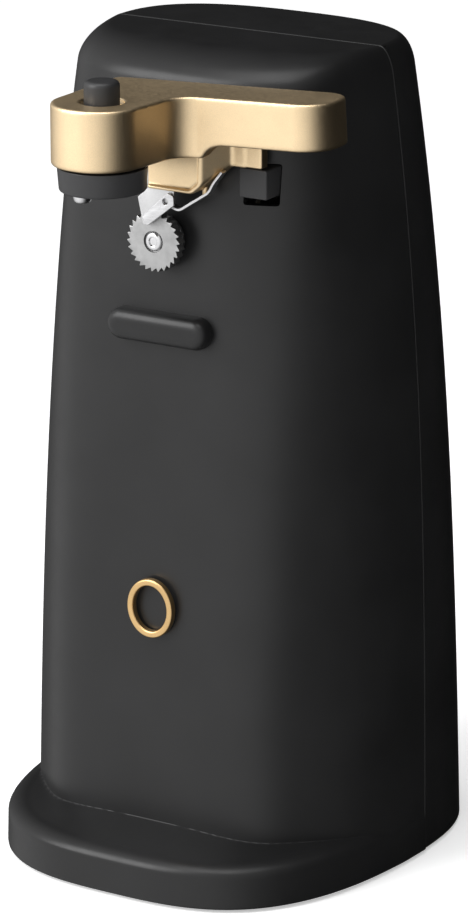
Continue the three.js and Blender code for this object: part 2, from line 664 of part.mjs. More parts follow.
const plateHead = roomAt(plateTop, platesFront) - plate.sideRoom;
const plateHalf = motor.coreHalfWidth + plate.coreRoom;
const postX = plateHead - plate.postInset;
const posts = [[-postX, plateTop - 3.6], [postX, plateTop - 3.6], [-24, motorZ - 20], [24, motorZ - 20]];

// Frame plate: narrow at the head, where the switch passes beside it, and wide at the motor.
function framePlate(y0, motorHole) {
  const outline = roundedOutline([
    [-plateHalf, motorZ - 27, 4], [plateHalf, motorZ - 27, 4], [plateHalf, middleZ, 6],
    [plateHead, wheelZ - 2, 8], [plateHead, plateTop, 4],
    [-plateHead, plateTop, 4], [-plateHead, wheelZ - 2, 8], [-plateHalf, middleZ, 6],
  ]);
  let sheet = plateY(outline, y0, y0 + plate.thickness)
    .subtract(rodY(shaft.radius + gap, 0, wheelZ, -60, 60, 24))
    .subtract(rodY(2 + gap, 0, middleZ, -60, 60, 14))
    .subtract(rodY(motorHole, 0, motorZ, -60, 60, 24));
  for (const [x, z] of posts) sheet = sheet.subtract(rodY(1.2 + gap, x, z, -60, 60, 10));
  // room for the head of the lever's pin and for the switch block
  sheet = sheet.subtract(rodY(pivot.radius + 2.4 + gap, lever.pivotX, pivotZ, -60, 60, 24));
  return sheet.subtract(block(plunger.x - plunger.width / 2 - gap, far, -60, 60,
    plungerTop - plunger.height - plunger.travel - gap, plungerTop + gap));
}

// Spacer between the plates, with a thinner neck through each of them.
function framePost([x, z]) {
  return rodY(2.6, x, z, platesFront + plate.thickness + gap, rearPlateY - gap, 14)
    .add(rodY(1.2, x, z, platesFront - 0.3, rearPlateY + plate.thickness + 0.4, 10));
}

// ---------------------------------------------------------------- motor

const leg = { low: motorZ - 47, high: motorZ - 39, windowHigh: motorZ - 21 };
const tieBolts = [-motor.coreHalfWidth + 5, motor.coreHalfWidth - 5];

function statorCore() {
  let core = plateY(roundedOutline([
    [-motor.coreHalfWidth, leg.low, 2], [motor.coreHalfWidth, leg.low, 2],
    [motor.coreHalfWidth, motorZ + 20, 5], [-motor.coreHalfWidth, motorZ + 20, 5],
  ]), ...coreY);
  core = core.subtract(rodY(motor.rotorRadius + gap, 0, motorZ, 0, 100, 28));
  core = core.subtract(block(-17, 17, 0, 100, leg.high, leg.windowHigh));
  for (const x of tieBolts) core = core.subtract(rodY(1.6 + gap, x, motorZ, 0, 100, 12));
  return core;
}

function coil() {
  const turns = plateY(roundedBox(16, 11.5, 3, 0, (leg.low + leg.high) / 2), coreY[0] - 6, coreY[1] + 6);
  return turns.subtract(block(-30, 30, coreY[0] - gap, coreY[1] + gap, leg.low - gap, leg.high + gap));
}

function bearingBracket(y0) {
  const outline = roundedOutline([
    [tieBolts[0] - 4, motorZ - 6, 4], [-8, motorZ - 12, 5],
    [8, motorZ - 12, 5], [tieBolts[1] + 4, motorZ - 6, 4],
    [tieBolts[1] + 4, motorZ + 6, 4], [8, motorZ + 12, 5],
    [-8, motorZ + 12, 5], [tieBolts[0] - 4, motorZ + 6, 4],
  ]);
  let bracket = plateY(outline, y0, y0 + 1.8).add(rodY(5, 0, motorZ, y0, y0 + 4, 24));
  bracket = bracket.subtract(rodY(motor.shaftRadius + gap, 0, motorZ, 0, 100, 16));
  for (const x of tieBolts) bracket = bracket.subtract(rodY(1.6 + gap, x, motorZ, 0, 100, 12));
  return bracket;
}

const frontBracketY = rearPlateY + plate.thickness + gap;
const rearBracketY = coreY[1] + 8;
const fanY = rearBracketY + 6;

function tieBolt(x) {
  return rodY(1.6, x, motorZ, frontBracketY - gap + 0.1, rearBracketY + 2.2, 12)
    .add(rodY(3, x, motorZ, rearBracketY + 2.1, rearBracketY + 4, 14));
}

function motorFan() {
  let fan = rodY(5, 0, 0, fanY, fanY + 6, 24).add(rodY(15, 0, 0, fanY, fanY + 1.2, 28));
  for (let i = 0; i < 7; i += 1) {
    const blade = block(4, 14.6, fanY + 1, fanY + 6, -0.6, 0.6);
    fan = fan.add(blade.rotate([0, (360 * i) / 7, 0]));
  }
  return fan.subtract(rodY(motor.shaftRadius + gap, 0, 0, 0, 100, 16)).translate([0, 0, motorZ]);
}

// ---------------------------------------------------------------- switch

const plungerStem = { x0: 27.6, x1: 32, low: 1.2, high: 7.2 };
const stemEnd = rearPlateY + 12;

// The black block that the lever's tab presses, and the stem that reaches back to the switch.
function switchPlunger() {
  const bottom = plungerTop - plunger.height;
  const middle = plungerTop - plunger.height / 2;
  const face = roundedBox(plunger.width / 2, plunger.height / 2, 0.5, plunger.x, middle);
  return plateY(face, aheadOfFace(plunger.ahead), platesFront + 0.6)
    .add(block(plungerStem.x0, plungerStem.x1, platesFront, stemEnd, bottom + plungerStem.low,
      bottom + plungerStem.high));
}

const switchTop = plungerTop - plunger.height + plungerStem.low - plunger.travel - 1.6;

function switchBody() {
  return block(plunger.x - 6, plunger.x + 6, rearPlateY + 3, rearPlateY + 14, switchTop - 12, switchTop)
    .subtract(rodZ(1.5, plunger.x, rearPlateY + 7, switchTop - 2, switchTop + 5, 16));
}

// ---------------------------------------------------------------- scene

const finishes = {
  blackShell: [0x2b2b2d, 0.42, 0.0], blackMatte: [0x1d1d1f, 0.7, 0.0], gold: [0xd8b77e, 0.34, 1.0],
  steel: [0xc9cbcd, 0.3, 1.0], darkSteel: [0x77797c, 0.45, 1.0], nylon: [0xe9e4d6, 0.55, 0.0],
  copper: [0xa85f34, 0.4, 1.0], rubber: [0x151515, 0.9, 0.0], brass: [0xb99a4f, 0.4, 1.0],
};

function piece(parent, name, solid, finish) {
  const [color, roughness, metalness] = finishes[finish];
  const material = new THREE.MeshStandardMaterial({ color, roughness, metalness });
  const mesh = new THREE.Mesh(geometryOf(solid), material);
  mesh.name = name;
  parent.add(mesh);
  return mesh;
}

const opener = new THREE.Group();
const shellGroup = new THREE.Group();
const leverGroup = new THREE.Group();
const magnetGroup = new THREE.Group();
const driveGroup = new THREE.Group();
const middleGroup = new THREE.Group();
const motorGroup = new THREE.Group();
const frameGroup = new THREE.Group();
leverGroup.add(magnetGroup);
opener.add(shellGroup, leverGroup, driveGroup, middleGroup, motorGroup, frameGroup);

piece(shellGroup, 'front_shell', frontShell(), 'blackShell');
piece(shellGroup, 'rear_shell', rearShell(), 'blackShell');
piece(shellGroup, 'bottom_cover', bottomCover(), 'blackMatte');
piece(shellGroup, 'can_rest', canRestBar(), 'blackMatte');
piece(shellGroup, 'badge_ring', badgeRing(), 'gold');

const inletBack = backAt(inlet.z - inlet.flange);
piece(shellGroup, 'cord_inlet', turnedY([
  [inlet.bore, inletBack - wall - 3], [inlet.sleeve, inletBack - wall - 3], [inlet.sleeve, inletBack + gap],
  [inlet.flange, inletBack + gap], [inlet.flange - 0.8, inletBack + 1.8], [inlet.bore, inletBack + 1.8],
  [inlet.bore, inletBack - wall - 3],
], 0, inlet.z, 24), 'rubber');

const footX = housing.halfWidth + base.sideStep - wall - foot.radius - foot.sideRoom;
const footFront = housing.front - base.reach + wall + foot.radius + foot.frontRoom;
const footBack = housing.back - wall - foot.radius - foot.backRoom;
[[-footX, footFront], [footX, footFront], [-footX, footBack], [footX, footBack]].forEach(([x, y], i) => {
  const pad = turnedZ([[0, 0], [foot.radius - 0.6, 0], [foot.radius, 0.6], [foot.radius, foot.height],
    [0, foot.height]], 0, 0, 18);
  piece(shellGroup, `foot_${i + 1}`, pad, 'rubber').position.set(x, y, 0);
});

[...frontBosses, ...backBosses].forEach(([x, y], i) => {
  const screw = turnedZ([[0, 0], [2.2, 0], [2.9, 0.5], [2.9, 1.0], [1.4, 1.0], [1.4, 15], [0, 15]], 0, 0, 14);
  piece(shellGroup, `cover_screw_${i + 1}`, screw, 'darkSteel').position.set(x, y, foot.height - 1.0);
});

piece(leverGroup, 'lever', leverBody(), 'gold');
piece(leverGroup, 'cutter_blade', cutterBlade(), 'steel');
piece(leverGroup, 'cutter_edge', cutterEdge(), 'steel');
piece(leverGroup, 'cutter_screw', cutterScrewBody(), 'darkSteel');
piece(leverGroup, 'can_guide', canGuide(), 'steel');
piece(leverGroup, 'guide_peg', rodZ(1.1, peg.x, peg.y, skirtBottom - 1.4, skirtBottom + 5.6, 12), 'gold');
piece(magnetGroup, 'magnet_post', magnetPost(), 'blackMatte');
piece(magnetGroup, 'magnet_holder', magnetHolder(), 'blackMatte');
piece(magnetGroup, 'magnet', magnetBody(), 'steel');
piece(magnetGroup, 'magnet_screw', magnetScrew(), 'darkSteel');

const collarBack = frontAt(pivotZ - 6) - gap - 0.3;
const springFront = frontAt(pivotZ) + wall + 2.4;
piece(frameGroup, 'lever_pin', pivotPin(), 'darkSteel');
piece(frameGroup, 'pivot_collar', tubeY(6, pivot.radius + gap, lever.pivotX, pivotZ,
  barBackAt(lever.pivotX + 6) + 0.4, collarBack), 'steel');
piece(frameGroup, 'lever_spring', tubeY(5, pivot.radius + gap, lever.pivotX, pivotZ,
  springFront, springFront + 6), 'darkSteel');

piece(driveGroup, 'drive_wheel', driveWheel(), 'steel');
piece(driveGroup, 'wheel_screw', wheelScrew(), 'steel');
piece(driveGroup, 'drive_shaft', driveShaft(), 'steel');
piece(driveGroup, 'drive_gear', driveGear(), 'nylon');
piece(frameGroup, 'wheel_bushing', wheelBushing(), 'brass');
piece(frameGroup, 'front_plate', framePlate(platesFront, motor.shaftRadius + 1), 'darkSteel');
piece(frameGroup, 'rear_plate', framePlate(rearPlateY, motorPitch + 2), 'darkSteel');
posts.forEach((place, i) => piece(frameGroup, `plate_post_${i + 1}`, framePost(place), 'steel'));
piece(frameGroup, 'middle_axle', rodY(2, 0, middleZ, platesFront, rearPlateY + plate.thickness, 20), 'steel');
piece(middleGroup, 'middle_gear', middleGear(), 'nylon');

piece(motorGroup, 'motor_pinion', motorPinion(), 'brass');
piece(
  motorGroup, 'motor_shaft',
  rodY(motor.shaftRadius, 0, motorZ, largeGearY[0] - 0.6, fanY + 7, 16), 'steel',
);
piece(
  motorGroup, 'rotor',
  tubeY(motor.rotorRadius, motor.shaftRadius + gap, 0, motorZ, ...coreY, 28), 'darkSteel',
);
piece(motorGroup, 'motor_fan', motorFan(), 'blackMatte');
piece(frameGroup, 'stator_core', statorCore(), 'darkSteel');
piece(frameGroup, 'motor_coil', coil(), 'copper');
piece(frameGroup, 'front_bracket', bearingBracket(frontBracketY), 'steel');
piece(frameGroup, 'rear_bracket', bearingBracket(rearBracketY), 'steel');
tieBolts.forEach((x, i) => piece(frameGroup, `motor_bolt_${i + 1}`, tieBolt(x), 'darkSteel'));

piece(opener, 'switch_plunger', switchPlunger(), 'blackMatte');
piece(frameGroup, 'switch_body', switchBody(), 'blackMatte');
piece(
  frameGroup, 'switch_button',
  rodZ(1.2, plunger.x, rearPlateY + 7, switchTop - 1.7, switchTop + 1, 14), 'nylon',
);

// the origin is on the table, under the middle of the whole outline
const middleY = new THREE.Box3().setFromObject(opener).getCenter(new THREE.Vector3()).y;
opener.position.y = -middleY;

export default opener;
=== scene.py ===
"""Looks of a tall electric can opener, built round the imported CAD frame."""

import math

import bmesh
import bpy
import numpy as np
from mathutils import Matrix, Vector


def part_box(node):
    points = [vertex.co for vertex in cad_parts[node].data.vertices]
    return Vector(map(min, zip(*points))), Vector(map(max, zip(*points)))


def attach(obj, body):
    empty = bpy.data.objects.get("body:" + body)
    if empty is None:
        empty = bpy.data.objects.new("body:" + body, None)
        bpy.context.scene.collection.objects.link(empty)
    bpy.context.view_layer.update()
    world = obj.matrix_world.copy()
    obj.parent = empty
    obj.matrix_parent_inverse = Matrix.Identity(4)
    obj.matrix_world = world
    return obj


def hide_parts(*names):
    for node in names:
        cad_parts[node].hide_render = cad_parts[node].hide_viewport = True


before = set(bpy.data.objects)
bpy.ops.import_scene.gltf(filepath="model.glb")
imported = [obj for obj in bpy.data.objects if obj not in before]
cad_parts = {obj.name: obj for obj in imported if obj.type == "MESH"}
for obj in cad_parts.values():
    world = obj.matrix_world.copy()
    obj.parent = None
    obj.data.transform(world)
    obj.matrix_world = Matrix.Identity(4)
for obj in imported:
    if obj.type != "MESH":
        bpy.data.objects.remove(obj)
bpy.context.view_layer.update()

MM = 0.001
TAU = 2 * math.pi


def middle(node):
    low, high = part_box(node)
    return (low + high) / 2 / MM


# ---------------------------------------------------------------- sizes, in millimetres

HEIGHT = 240.0
FLOOR = 1.0  # lower rim of the housing
WALL = 2.6
SEAM = 27.3  # parting plane of the two shells, measured in the housing's own frame
SEAM_GAP = 0.3
SEAM_ROUND = 0.38
# the rounded top: its height, and its run-in at the sides, the front and the back
ROLL_DROP, ROLL_SIDE, ROLL_FRONT, ROLL_BACK = 7.9, 3.6, 17.5, 4.5
# the flared foot: half width, reach and centre of its outline, and the top of its upright rim
FOOT_HALF, FOOT_REACH, FOOT_MIDDLE, FOOT_RIM = 62.2, 101.8, 53, 10.4
# distances ahead of the front wall, at the wheel's height
POST_AHEAD, BAR_FRONT_AHEAD, BAR_BACK_AHEAD = 32.85, 16.45, 3.2
PIN_X, PIN_Z = -8, 226.0  # axis of the lever's pin
wheel = middle("drive_wheel")
post = middle("magnet_post")
WHEEL_UP = wheel.z / HEIGHT
FACE = -27.1 + 7.0 * WHEEL_UP + 7.2 * WHEEL_UP ** 2  # front wall at the wheel's height
POST_X, POST_Y = post.x, FACE - POST_AHEAD
# how far the row frame's origin is ahead of the housing's own frame
SHIFT = post.y - POST_Y
LEVER_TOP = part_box("lever")[1].z / MM
NOSE_LOW = LEVER_TOP - 17.2
BAR_LOW = LEVER_TOP - 13.2
SKIRT_LOW = NOSE_LOW - 12


# ---------------------------------------------------------------- node materials


class Finish:
    """A node material whose colour, roughness and relief come from object coordinates."""

    def __init__(self, name, color, rough, metal=0.0, spec=0.5, coat=0.0, coat_rough=0.1):
        self.material = bpy.data.materials.new(name)
        self.material.use_nodes = True
        self.nodes = self.material.node_tree.nodes
        self.links = self.material.node_tree.links
        self.shader = self.nodes["Principled BSDF"]
        self.color = color
        self.rough = rough
        self.set("Base Color", (*color, 1))
        self.set("Metallic", metal)
        self.set("Specular IOR Level", spec)
        self.set("Coat Weight", coat)
        self.set("Coat Roughness", coat_rough)
        self.place = self.add("ShaderNodeTexCoord").outputs["Object"]
        self.relief = None

    def add(self, kind, **values):
        node = self.nodes.new(kind)
        for key, value in values.items():
            setattr(node, key, value)
        return node

    def set(self, socket, value):
        self.shader.inputs[socket].default_value = value

    def stretched(self, scale):
        """Object coordinates scaled differently along each axis."""
        node = self.add("ShaderNodeMapping")
        node.inputs["Scale"].default_value = scale
        self.links.new(self.place, node.inputs["Vector"])
        return node.outputs["Vector"]

    def noise(self, scale, detail=3.0, vector=None, rough=0.5):
        node = self.add("ShaderNodeTexNoise")
        node.inputs["Scale"].default_value = scale
        node.inputs["Detail"].default_value = detail
        node.inputs["Roughness"].default_value = rough
        self.links.new(vector or self.place, node.inputs["Vector"])
        return node.outputs["Fac"]

    def span(self, value, low, high, start=0.3, stop=0.7):
        """A value between start and stop, mapped to low to high."""
        node = self.add("ShaderNodeMapRange")
        for key, number in (("From Min", start), ("From Max", stop), ("To Min", low), ("To Max", high)):
            node.inputs[key].default_value = number
        self.links.new(value, node.inputs["Value"])
        return node.outputs["Result"]

    def math(self, operation, first, second):
        node = self.add("ShaderNodeMath", operation=operation)
        for socket, value in zip(node.inputs, (first, second)):
            if isinstance(value, (int, float)):
                socket.default_value = value
            else:
                self.links.new(value, socket)
        return node.outputs["Value"]

    def tint(self, value, low, high, start=0.3, stop=0.7):
        """Base colour runs between two multiples of the finish's colour."""
        node = self.add("ShaderNodeValToRGB")
        ramp = node.color_ramp.elements
        ramp[0].position, ramp[1].position = start, stop
        ramp[0].color = (*[c * low for c in self.color], 1)
        ramp[1].color = (*[c * high for c in self.color], 1)
        self.links.new(value, node.inputs["Fac"])
        self.links.new(node.outputs["Color"], self.shader.inputs["Base Color"])
        return self

    def roughen(self, value, spread, start=0.3, stop=0.7):
        result = self.span(value, self.rough - spread, self.rough + spread, start, stop)
        self.links.new(result, self.shader.inputs["Roughness"])
        return self

    def bump(self, value, depth, strength=1.0):
        """Relief of a depth in millimetres, on top of any relief added before."""
        node = self.add("ShaderNodeBump")
        node.inputs["Strength"].default_value = strength
        node.inputs["Distance"].default_value = depth * MM
        self.links.new(value, node.inputs["Height"])
        if self.relief:
            self.links.new(self.relief, node.inputs["Normal"])
        self.relief = node.outputs["Normal"]
        self.links.new(self.relief, self.shader.inputs["Normal"])
        return self


def moulded(name, color, rough, spec, grain=0.01, coat=0.0):
    """Moulded plastic: faint flow clouds, orange peel and fine grain."""
    f = Finish(name, color, rough, spec=spec, coat=coat, coat_rough=0.12)
    f.tint(f.noise(38, 4), 0.86, 1.16)
    f.roughen(f.noise(160, 5, rough=0.6), 0.035)
    f.bump(f.noise(420, 2), 0.012)
    return f.bump(f.noise(3600, 3), grain).material


def satin_metal(name, color, rough, flake=0.012):
    """Satin metallic coating: fine flakes over a slightly uneven base."""
    f = Finish(name, color, rough, metal=1.0)
    clouds = f.noise(60, 3)
    flakes = f.noise(5200, 2, rough=0.7)
    f.tint(f.math("ADD", f.math("MULTIPLY", clouds, 0.45), f.math("MULTIPLY", flakes, 0.55)), 0.84, 1.14)
    f.roughen(f.noise(1500, 4), 0.05)
    return f.bump(flakes, flake).material


def brushed(name, color, rough, scale=(900, 900, 60), depth=0.006, low=0.82, high=1.12):
    """Ground or rolled metal with scratches along one axis."""
    f = Finish(name, color, rough, metal=1.0)
    lines = f.noise(4, 6, f.stretched(scale), rough=0.65)
    f.tint(lines, low, high)
    f.roughen(f.noise(220, 4), 0.07)
    return f.bump(lines, depth).material


def turned(name, color, rough, centre, pitch=0.16, depth=0.004, axis="Y"):
    """Metal with fine rings round an axis through centre, as left by a lathe."""
    f = Finish(name, color, rough, metal=1.0)
    split = f.add("ShaderNodeSeparateXYZ")
    f.links.new(f.place, split.inputs[0])
    a, b = {"Y": ("X", "Z"), "Z": ("X", "Y")}[axis]
    first = f.math("SUBTRACT", split.outputs[a], centre[0] * MM)
    second = f.math("SUBTRACT", split.outputs[b], centre[1] * MM)
    square = f.math("ADD", f.math("MULTIPLY", first, first), f.math("MULTIPLY", second, second))
    radius = f.math("SQRT", square, 0)
    wave = f.math("SINE", f.math("MULTIPLY", radius, TAU / (pitch * MM)), 0)
    stain = f.noise(260, 5, rough=0.65)
    f.tint(stain, 0.84, 1.1)
    f.roughen(f.noise(900, 4), 0.08)
    f.bump(wave, depth, 0.5)
    return f.bump(stain, 0.02).material


def laminated(name, color, rough, axis_scale):
    """Stacked steel sheets: fine dark lines across one axis."""
    f = Finish(name, color, rough, metal=0.9)
    sheets = f.noise(3, 2, f.stretched(axis_scale))
    f.tint(sheets, 0.55, 1.2, 0.35, 0.65)
    f.roughen(f.noise(300, 4), 0.08)
    return f.bump(sheets, 0.05).material


def wound(name, color, rough, pitch):
    """Enamelled wire laid side by side."""
    f = Finish(name, color, rough, metal=0.85, coat=0.4)
    wave = f.add("ShaderNodeTexWave", bands_direction="Y")
    wave.inputs["Scale"].default_value = 1 / (pitch * MM) / 3.2
    wave.inputs["Distortion"].default_value = 0.6
    f.links.new(f.place, wave.inputs["Vector"])
    f.tint(wave.outputs["Fac"], 0.45, 1.2, 0.1, 0.9)
    f.roughen(f.noise(400, 3), 0.08)
    return f.bump(wave.outputs["Fac"], 0.12).material


def pitted(name, color, rough, spec):
    """Rubber: soft, matt and finely pitted."""
    f = Finish(name, color, rough, spec=spec)
    f.tint(f.noise(90, 4), 0.8, 1.25)
    f.roughen(f.noise(700, 4), 0.06)
    return f.bump(f.noise(2600, 4, rough=0.7), 0.03).material


shell_black = moulded("shell_black", (0.0095, 0.0095, 0.0098), 0.34, 0.36, 0.006)
trim_black = moulded("trim_black", (0.024, 0.024, 0.025), 0.42, 0.4, 0.012)
hidden_black = moulded("hidden_black", (0.02, 0.02, 0.021), 0.6, 0.35, 0.02)
gold = satin_metal("gold", (0.90, 0.70, 0.44), 0.38)
badge_gold = satin_metal("badge_gold", (0.70, 0.47, 0.22), 0.33, 0.008)
steel_flat = brushed("steel_flat", (0.66, 0.66, 0.665), 0.36, (1400, 60, 1400), 0.004)
steel_wheel = turned("steel_wheel", (0.42, 0.42, 0.42), 0.44, (wheel.x, wheel.z), 0.3, 0.006)
steel_screw = turned("steel_screw", (0.78, 0.78, 0.79), 0.22, (wheel.x, wheel.z), 0.2, 0.003)
steel_spring = brushed("steel_spring", (0.7, 0.7, 0.71), 0.28, (60, 1400, 1400), 0.003)
steel_rod = brushed("steel_rod", (0.62, 0.62, 0.63), 0.3, (900, 40, 900), 0.003)
steel_stud = turned("steel_stud", (0.72, 0.72, 0.73), 0.24, (post.x, post.y), 0.4, 0.004, "Z")
dark_steel = brushed("dark_steel", (0.24, 0.245, 0.25), 0.42, (500, 500, 60), 0.006)
nylon = moulded("nylon", (0.72, 0.68, 0.58), 0.5, 0.4, 0.015)
brass = satin_metal("brass", (0.62, 0.43, 0.16), 0.34, 0.006)
copper_wire = wound("copper_wire", (0.55, 0.24, 0.10), 0.36, 0.6)
core_steel = laminated("core_steel", (0.3, 0.3, 0.31), 0.5, (20, 1600, 20))
rubber = pitted("rubber", (0.016, 0.016, 0.016), 0.75, 0.3)


# ---------------------------------------------------------------- mesh helpers


def add_piece(name, points, faces, body, nodes, slot, material, smooth=True):
    """A mesh piece in the row frame from points in the housing's frame, in millimetres."""
    mesh = bpy.data.meshes.new(name)
    points = (np.asarray(points, float) + (0, SHIFT, 0)) * MM
    mesh.from_pydata(points.tolist(), [], [tuple(int(i) for i in f) for f in faces])
    mesh.validate()
    piece = bpy.data.objects.new(name, mesh)
    bpy.context.scene.collection.objects.link(piece)
    bm = bmesh.new()
    bm.from_mesh(mesh)
    bmesh.ops.remove_doubles(bm, verts=bm.verts, dist=2e-7)
    bmesh.ops.recalc_face_normals(bm, faces=bm.faces)
    for face in bm.faces:
        face.smooth = smooth
    bm.to_mesh(mesh)
    bm.free()
    mesh.materials.append(material)
    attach(piece, body)
    if nodes:
        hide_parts(*nodes)
    return piece


def sharpen(piece, degrees=35):
    """Edges steeper than an angle stay crisp; the rest are smooth."""
    bm = bmesh.new()
    bm.from_mesh(piece.data)
    limit = math.radians(degrees)
    for edge in bm.edges:
        if len(edge.link_faces) == 2:
            edge.smooth = edge.calc_face_angle(0) < limit
    bm.to_mesh(piece.data)
    bm.free()
    return piece


def apply_modifiers(piece):
    evaluated = piece.evaluated_get(bpy.context.evaluated_depsgraph_get())
    mesh = bpy.data.meshes.new_from_object(evaluated)
    piece.modifiers.clear()
    old = piece.data
    piece.data = mesh
    bpy.data.meshes.remove(old)
    return piece


def cut(piece, *cutters):
    """Takes closed [points, faces] solids out of a piece."""
    for points, faces in cutters:
        mesh = bpy.data.meshes.new("cutter")
        points = (np.asarray(points, float) + (0, SHIFT, 0)) * MM
        mesh.from_pydata(points.tolist(), [], [tuple(int(i) for i in f) for f in faces])
        bm = bmesh.new()
        bm.from_mesh(mesh)
        bmesh.ops.recalc_face_normals(bm, faces=bm.faces)
        bm.to_mesh(mesh)
        bm.free()
        tool = bpy.data.objects.new("cutter", mesh)
        bpy.context.scene.collection.objects.link(tool)
        modifier = piece.modifiers.new("cut", "BOOLEAN")
        modifier.operation = "DIFFERENCE"
        modifier.solver = "EXACT"
        modifier.object = tool
        bpy.context.view_layer.update()
        apply_modifiers(piece)
        bpy.data.objects.remove(tool)
    return piece


def prism(outline, axis, low, high):
    """A closed straight prism over an outline, as points and faces."""
    n = len(outline)
    points = [lift(u, v, axis, low) for u, v in outline] + [lift(u, v, axis, high) for u, v in outline]
    faces = [tuple(range(n)), tuple(range(2 * n - 1, n - 1, -1))]
    faces += [(i, (i + 1) % n, n + (i + 1) % n, n + i) for i in range(n)]
    return points, faces


def lift(u, v, axis, w):
    return {"Y": (u, w, v), "Z": (u, v, w), "X": (w, u, v)}[axis]


def circle(radius, u=0.0, v=0.0, sides=48):
    turns = np.arange(sides) * TAU / sides
    return np.stack([u + radius * np.cos(turns), v + radius * np.sin(turns)], 1)


def rounded(corners, step=0.12):
    """A closed outline of (u, v, radius) corners, each turned by its radius."""
    points = []
    count = len(corners)
    for i, (u, v, radius) in enumerate(corners):
        here = np.array((u, v), float)
        before = np.array(corners[i - 1][:2], float) - here
        after = np.array(corners[(i + 1) % count][:2], float) - here
        before /= np.linalg.norm(before)
        after /= np.linalg.norm(after)
        half = math.acos(np.clip(before @ after, -1, 1)) / 2
        if radius <= 0 or half > 1.56:
            points.append(here)
            continue
        bisector = (before + after) / np.linalg.norm(before + after)
        centre = here + bisector * radius / math.sin(half)
        start = here + before * radius / math.tan(half) - centre
        stop = here + after * radius / math.tan(half) - centre
        first = math.atan2(start[1], start[0])
        sweep = (math.atan2(stop[1], stop[0]) - first + math.pi) % TAU - math.pi
        steps = max(2, math.ceil(abs(sweep) / step))
        for k in range(steps + 1):
            turn = first + sweep * k / steps
            points.append(centre + radius * np.array((math.cos(turn), math.sin(turn))))
    return np.array(points)


def inward(outline, distance):
    """The outline moved towards its inside along its corner bisectors."""
    edge = np.roll(outline, -1, 0) - outline
    edge /= np.linalg.norm(edge, axis=1)[:, None] + 1e-12
    area = np.sum(outline[:, 0] * np.roll(outline[:, 1], -1) - np.roll(outline[:, 0], -1) * outline[:, 1])
    side = np.stack([-edge[:, 1], edge[:, 0]], 1) * np.sign(area)
    both = side + np.roll(side, 1, 0)
    size = np.sum(both * both, 1)[:, None]
    return outline + both * distance * 2 / np.maximum(size, 0.8)


def slab(outline, axis, low, high, bevel=0.15, holes=(), steps=3):
    """Points and faces of a plate with rounded rims, with holes through it."""
    points, faces = [], []
    rims = {0: [], 1: []}
    turns = [math.pi / 2 * k / steps for k in range(steps + 1)]
    levels = [(low + bevel * (1 - math.sin(t)), bevel * (1 - math.cos(t))) for t in turns[::-1]]
    levels += [(high - bevel * (1 - math.sin(t)), bevel * (1 - math.cos(t))) for t in turns]
    for number, loop in enumerate([outline, *holes]):
        loop = np.asarray(loop, float)
        sign = 1 if number == 0 else -1
        n = len(loop)
        start = len(points)
        for w, inset in levels:
            for u, v in inward(loop, sign * inset):
                points.append(lift(u, v, axis, w))
        for level in range(len(levels) - 1):
            a = start + level * n
            faces += [(a + i, a + (i + 1) % n, a + n + (i + 1) % n, a + n + i) for i in range(n)]
        rims[0].append([start + i for i in range(n)])
        rims[1].append([start + (len(levels) - 1) * n + i for i in range(n)])
    for loops in rims.values():
        faces += fill_between(points, loops)
    return points, faces


def fill_between(points, loops):
    """Flat triangles inside the first loop and outside the others."""
    bm = bmesh.new()
    verts, index, edges = [], {}, []
    for loop in loops:
        ring = [bm.verts.new(points[i]) for i in loop]
        for vert, i in zip(ring, loop):
            index[vert] = i
        verts.append(ring)
        edges += [bm.edges.new((ring[k], ring[(k + 1) % len(ring)])) for k in range(len(ring))]
    result = bmesh.ops.triangle_fill(bm, use_beauty=True, use_dissolve=False, edges=edges)
    faces = [
        tuple(index[v] for v in face.verts)
        for face in result["geom"] if isinstance(face, bmesh.types.BMFace)
    ]
    bm.free()
    return faces


def lathe(profile, axis, u=0.0, v=0.0, sides=72):
    """A profile of (radius, height) points turned round an axis through u, v."""
    points, faces = [], []
    turns = np.arange(sides) * TAU / sides
    for radius, w in profile:
        for t in turns:
            points.append(lift(u + radius * math.cos(t), v + radius * math.sin(t), axis, w))
    for level in range(len(profile) - 1):
        a = level * sides
        for i in range(sides):
            after = (i + 1) % sides
            faces.append((a + i, a + after, a + sides + after, a + sides + i))
    return points, faces


def soften(profile, radius, steps=4):
    """Rounds the inner corners of an open profile."""
    result = [profile[0]]
    for before, here, after in zip(profile, profile[1:], profile[2:]):
        here = np.array(here, float)
        to_before = np.array(before, float) - here
        to_after = np.array(after, float) - here
        reach = min(radius, np.linalg.norm(to_before) * 0.45, np.linalg.norm(to_after) * 0.45)
        start = here + to_before / np.linalg.norm(to_before) * reach
        stop = here + to_after / np.linalg.norm(to_after) * reach
        for k in range(steps + 1):
            t = k / steps
            result.append(tuple((1 - t) ** 2 * start + 2 * t * (1 - t) * here + t * t * stop))
    return [*result, profile[-1]]


# ---------------------------------------------------------------- solids from distance fields


def smooth_max(a, b, k):
    h = np.maximum(k - np.abs(a - b), 0) / k
    return np.maximum(a, b) + h * h * k / 4


def smooth_min(a, b, k):
    return -smooth_max(-a, -b, k)


def outline_distance(outline, u, v):
    """Signed distance to a closed outline, below 0 inside."""
    u, v = np.broadcast_arrays(u, v)
    best = np.full(u.shape, 1e9)
    inside = np.zeros(u.shape, bool)
    for (au, av), (bu, bv) in zip(outline, np.roll(outline, -1, 0)):
        eu, ev = bu - au, bv - av
        wu, wv = u - au, v - av
        t = np.clip((wu * eu + wv * ev) / (eu * eu + ev * ev + 1e-12), 0, 1)
        best = np.minimum(best, (wu - eu * t) ** 2 + (wv - ev * t) ** 2)
        crosses = (av > v) != (bv > v)
        if crosses.any():
            inside ^= crosses & (wu < wv * eu / (ev if ev else 1e-12))
    return np.where(inside, -1, 1) * np.sqrt(best)


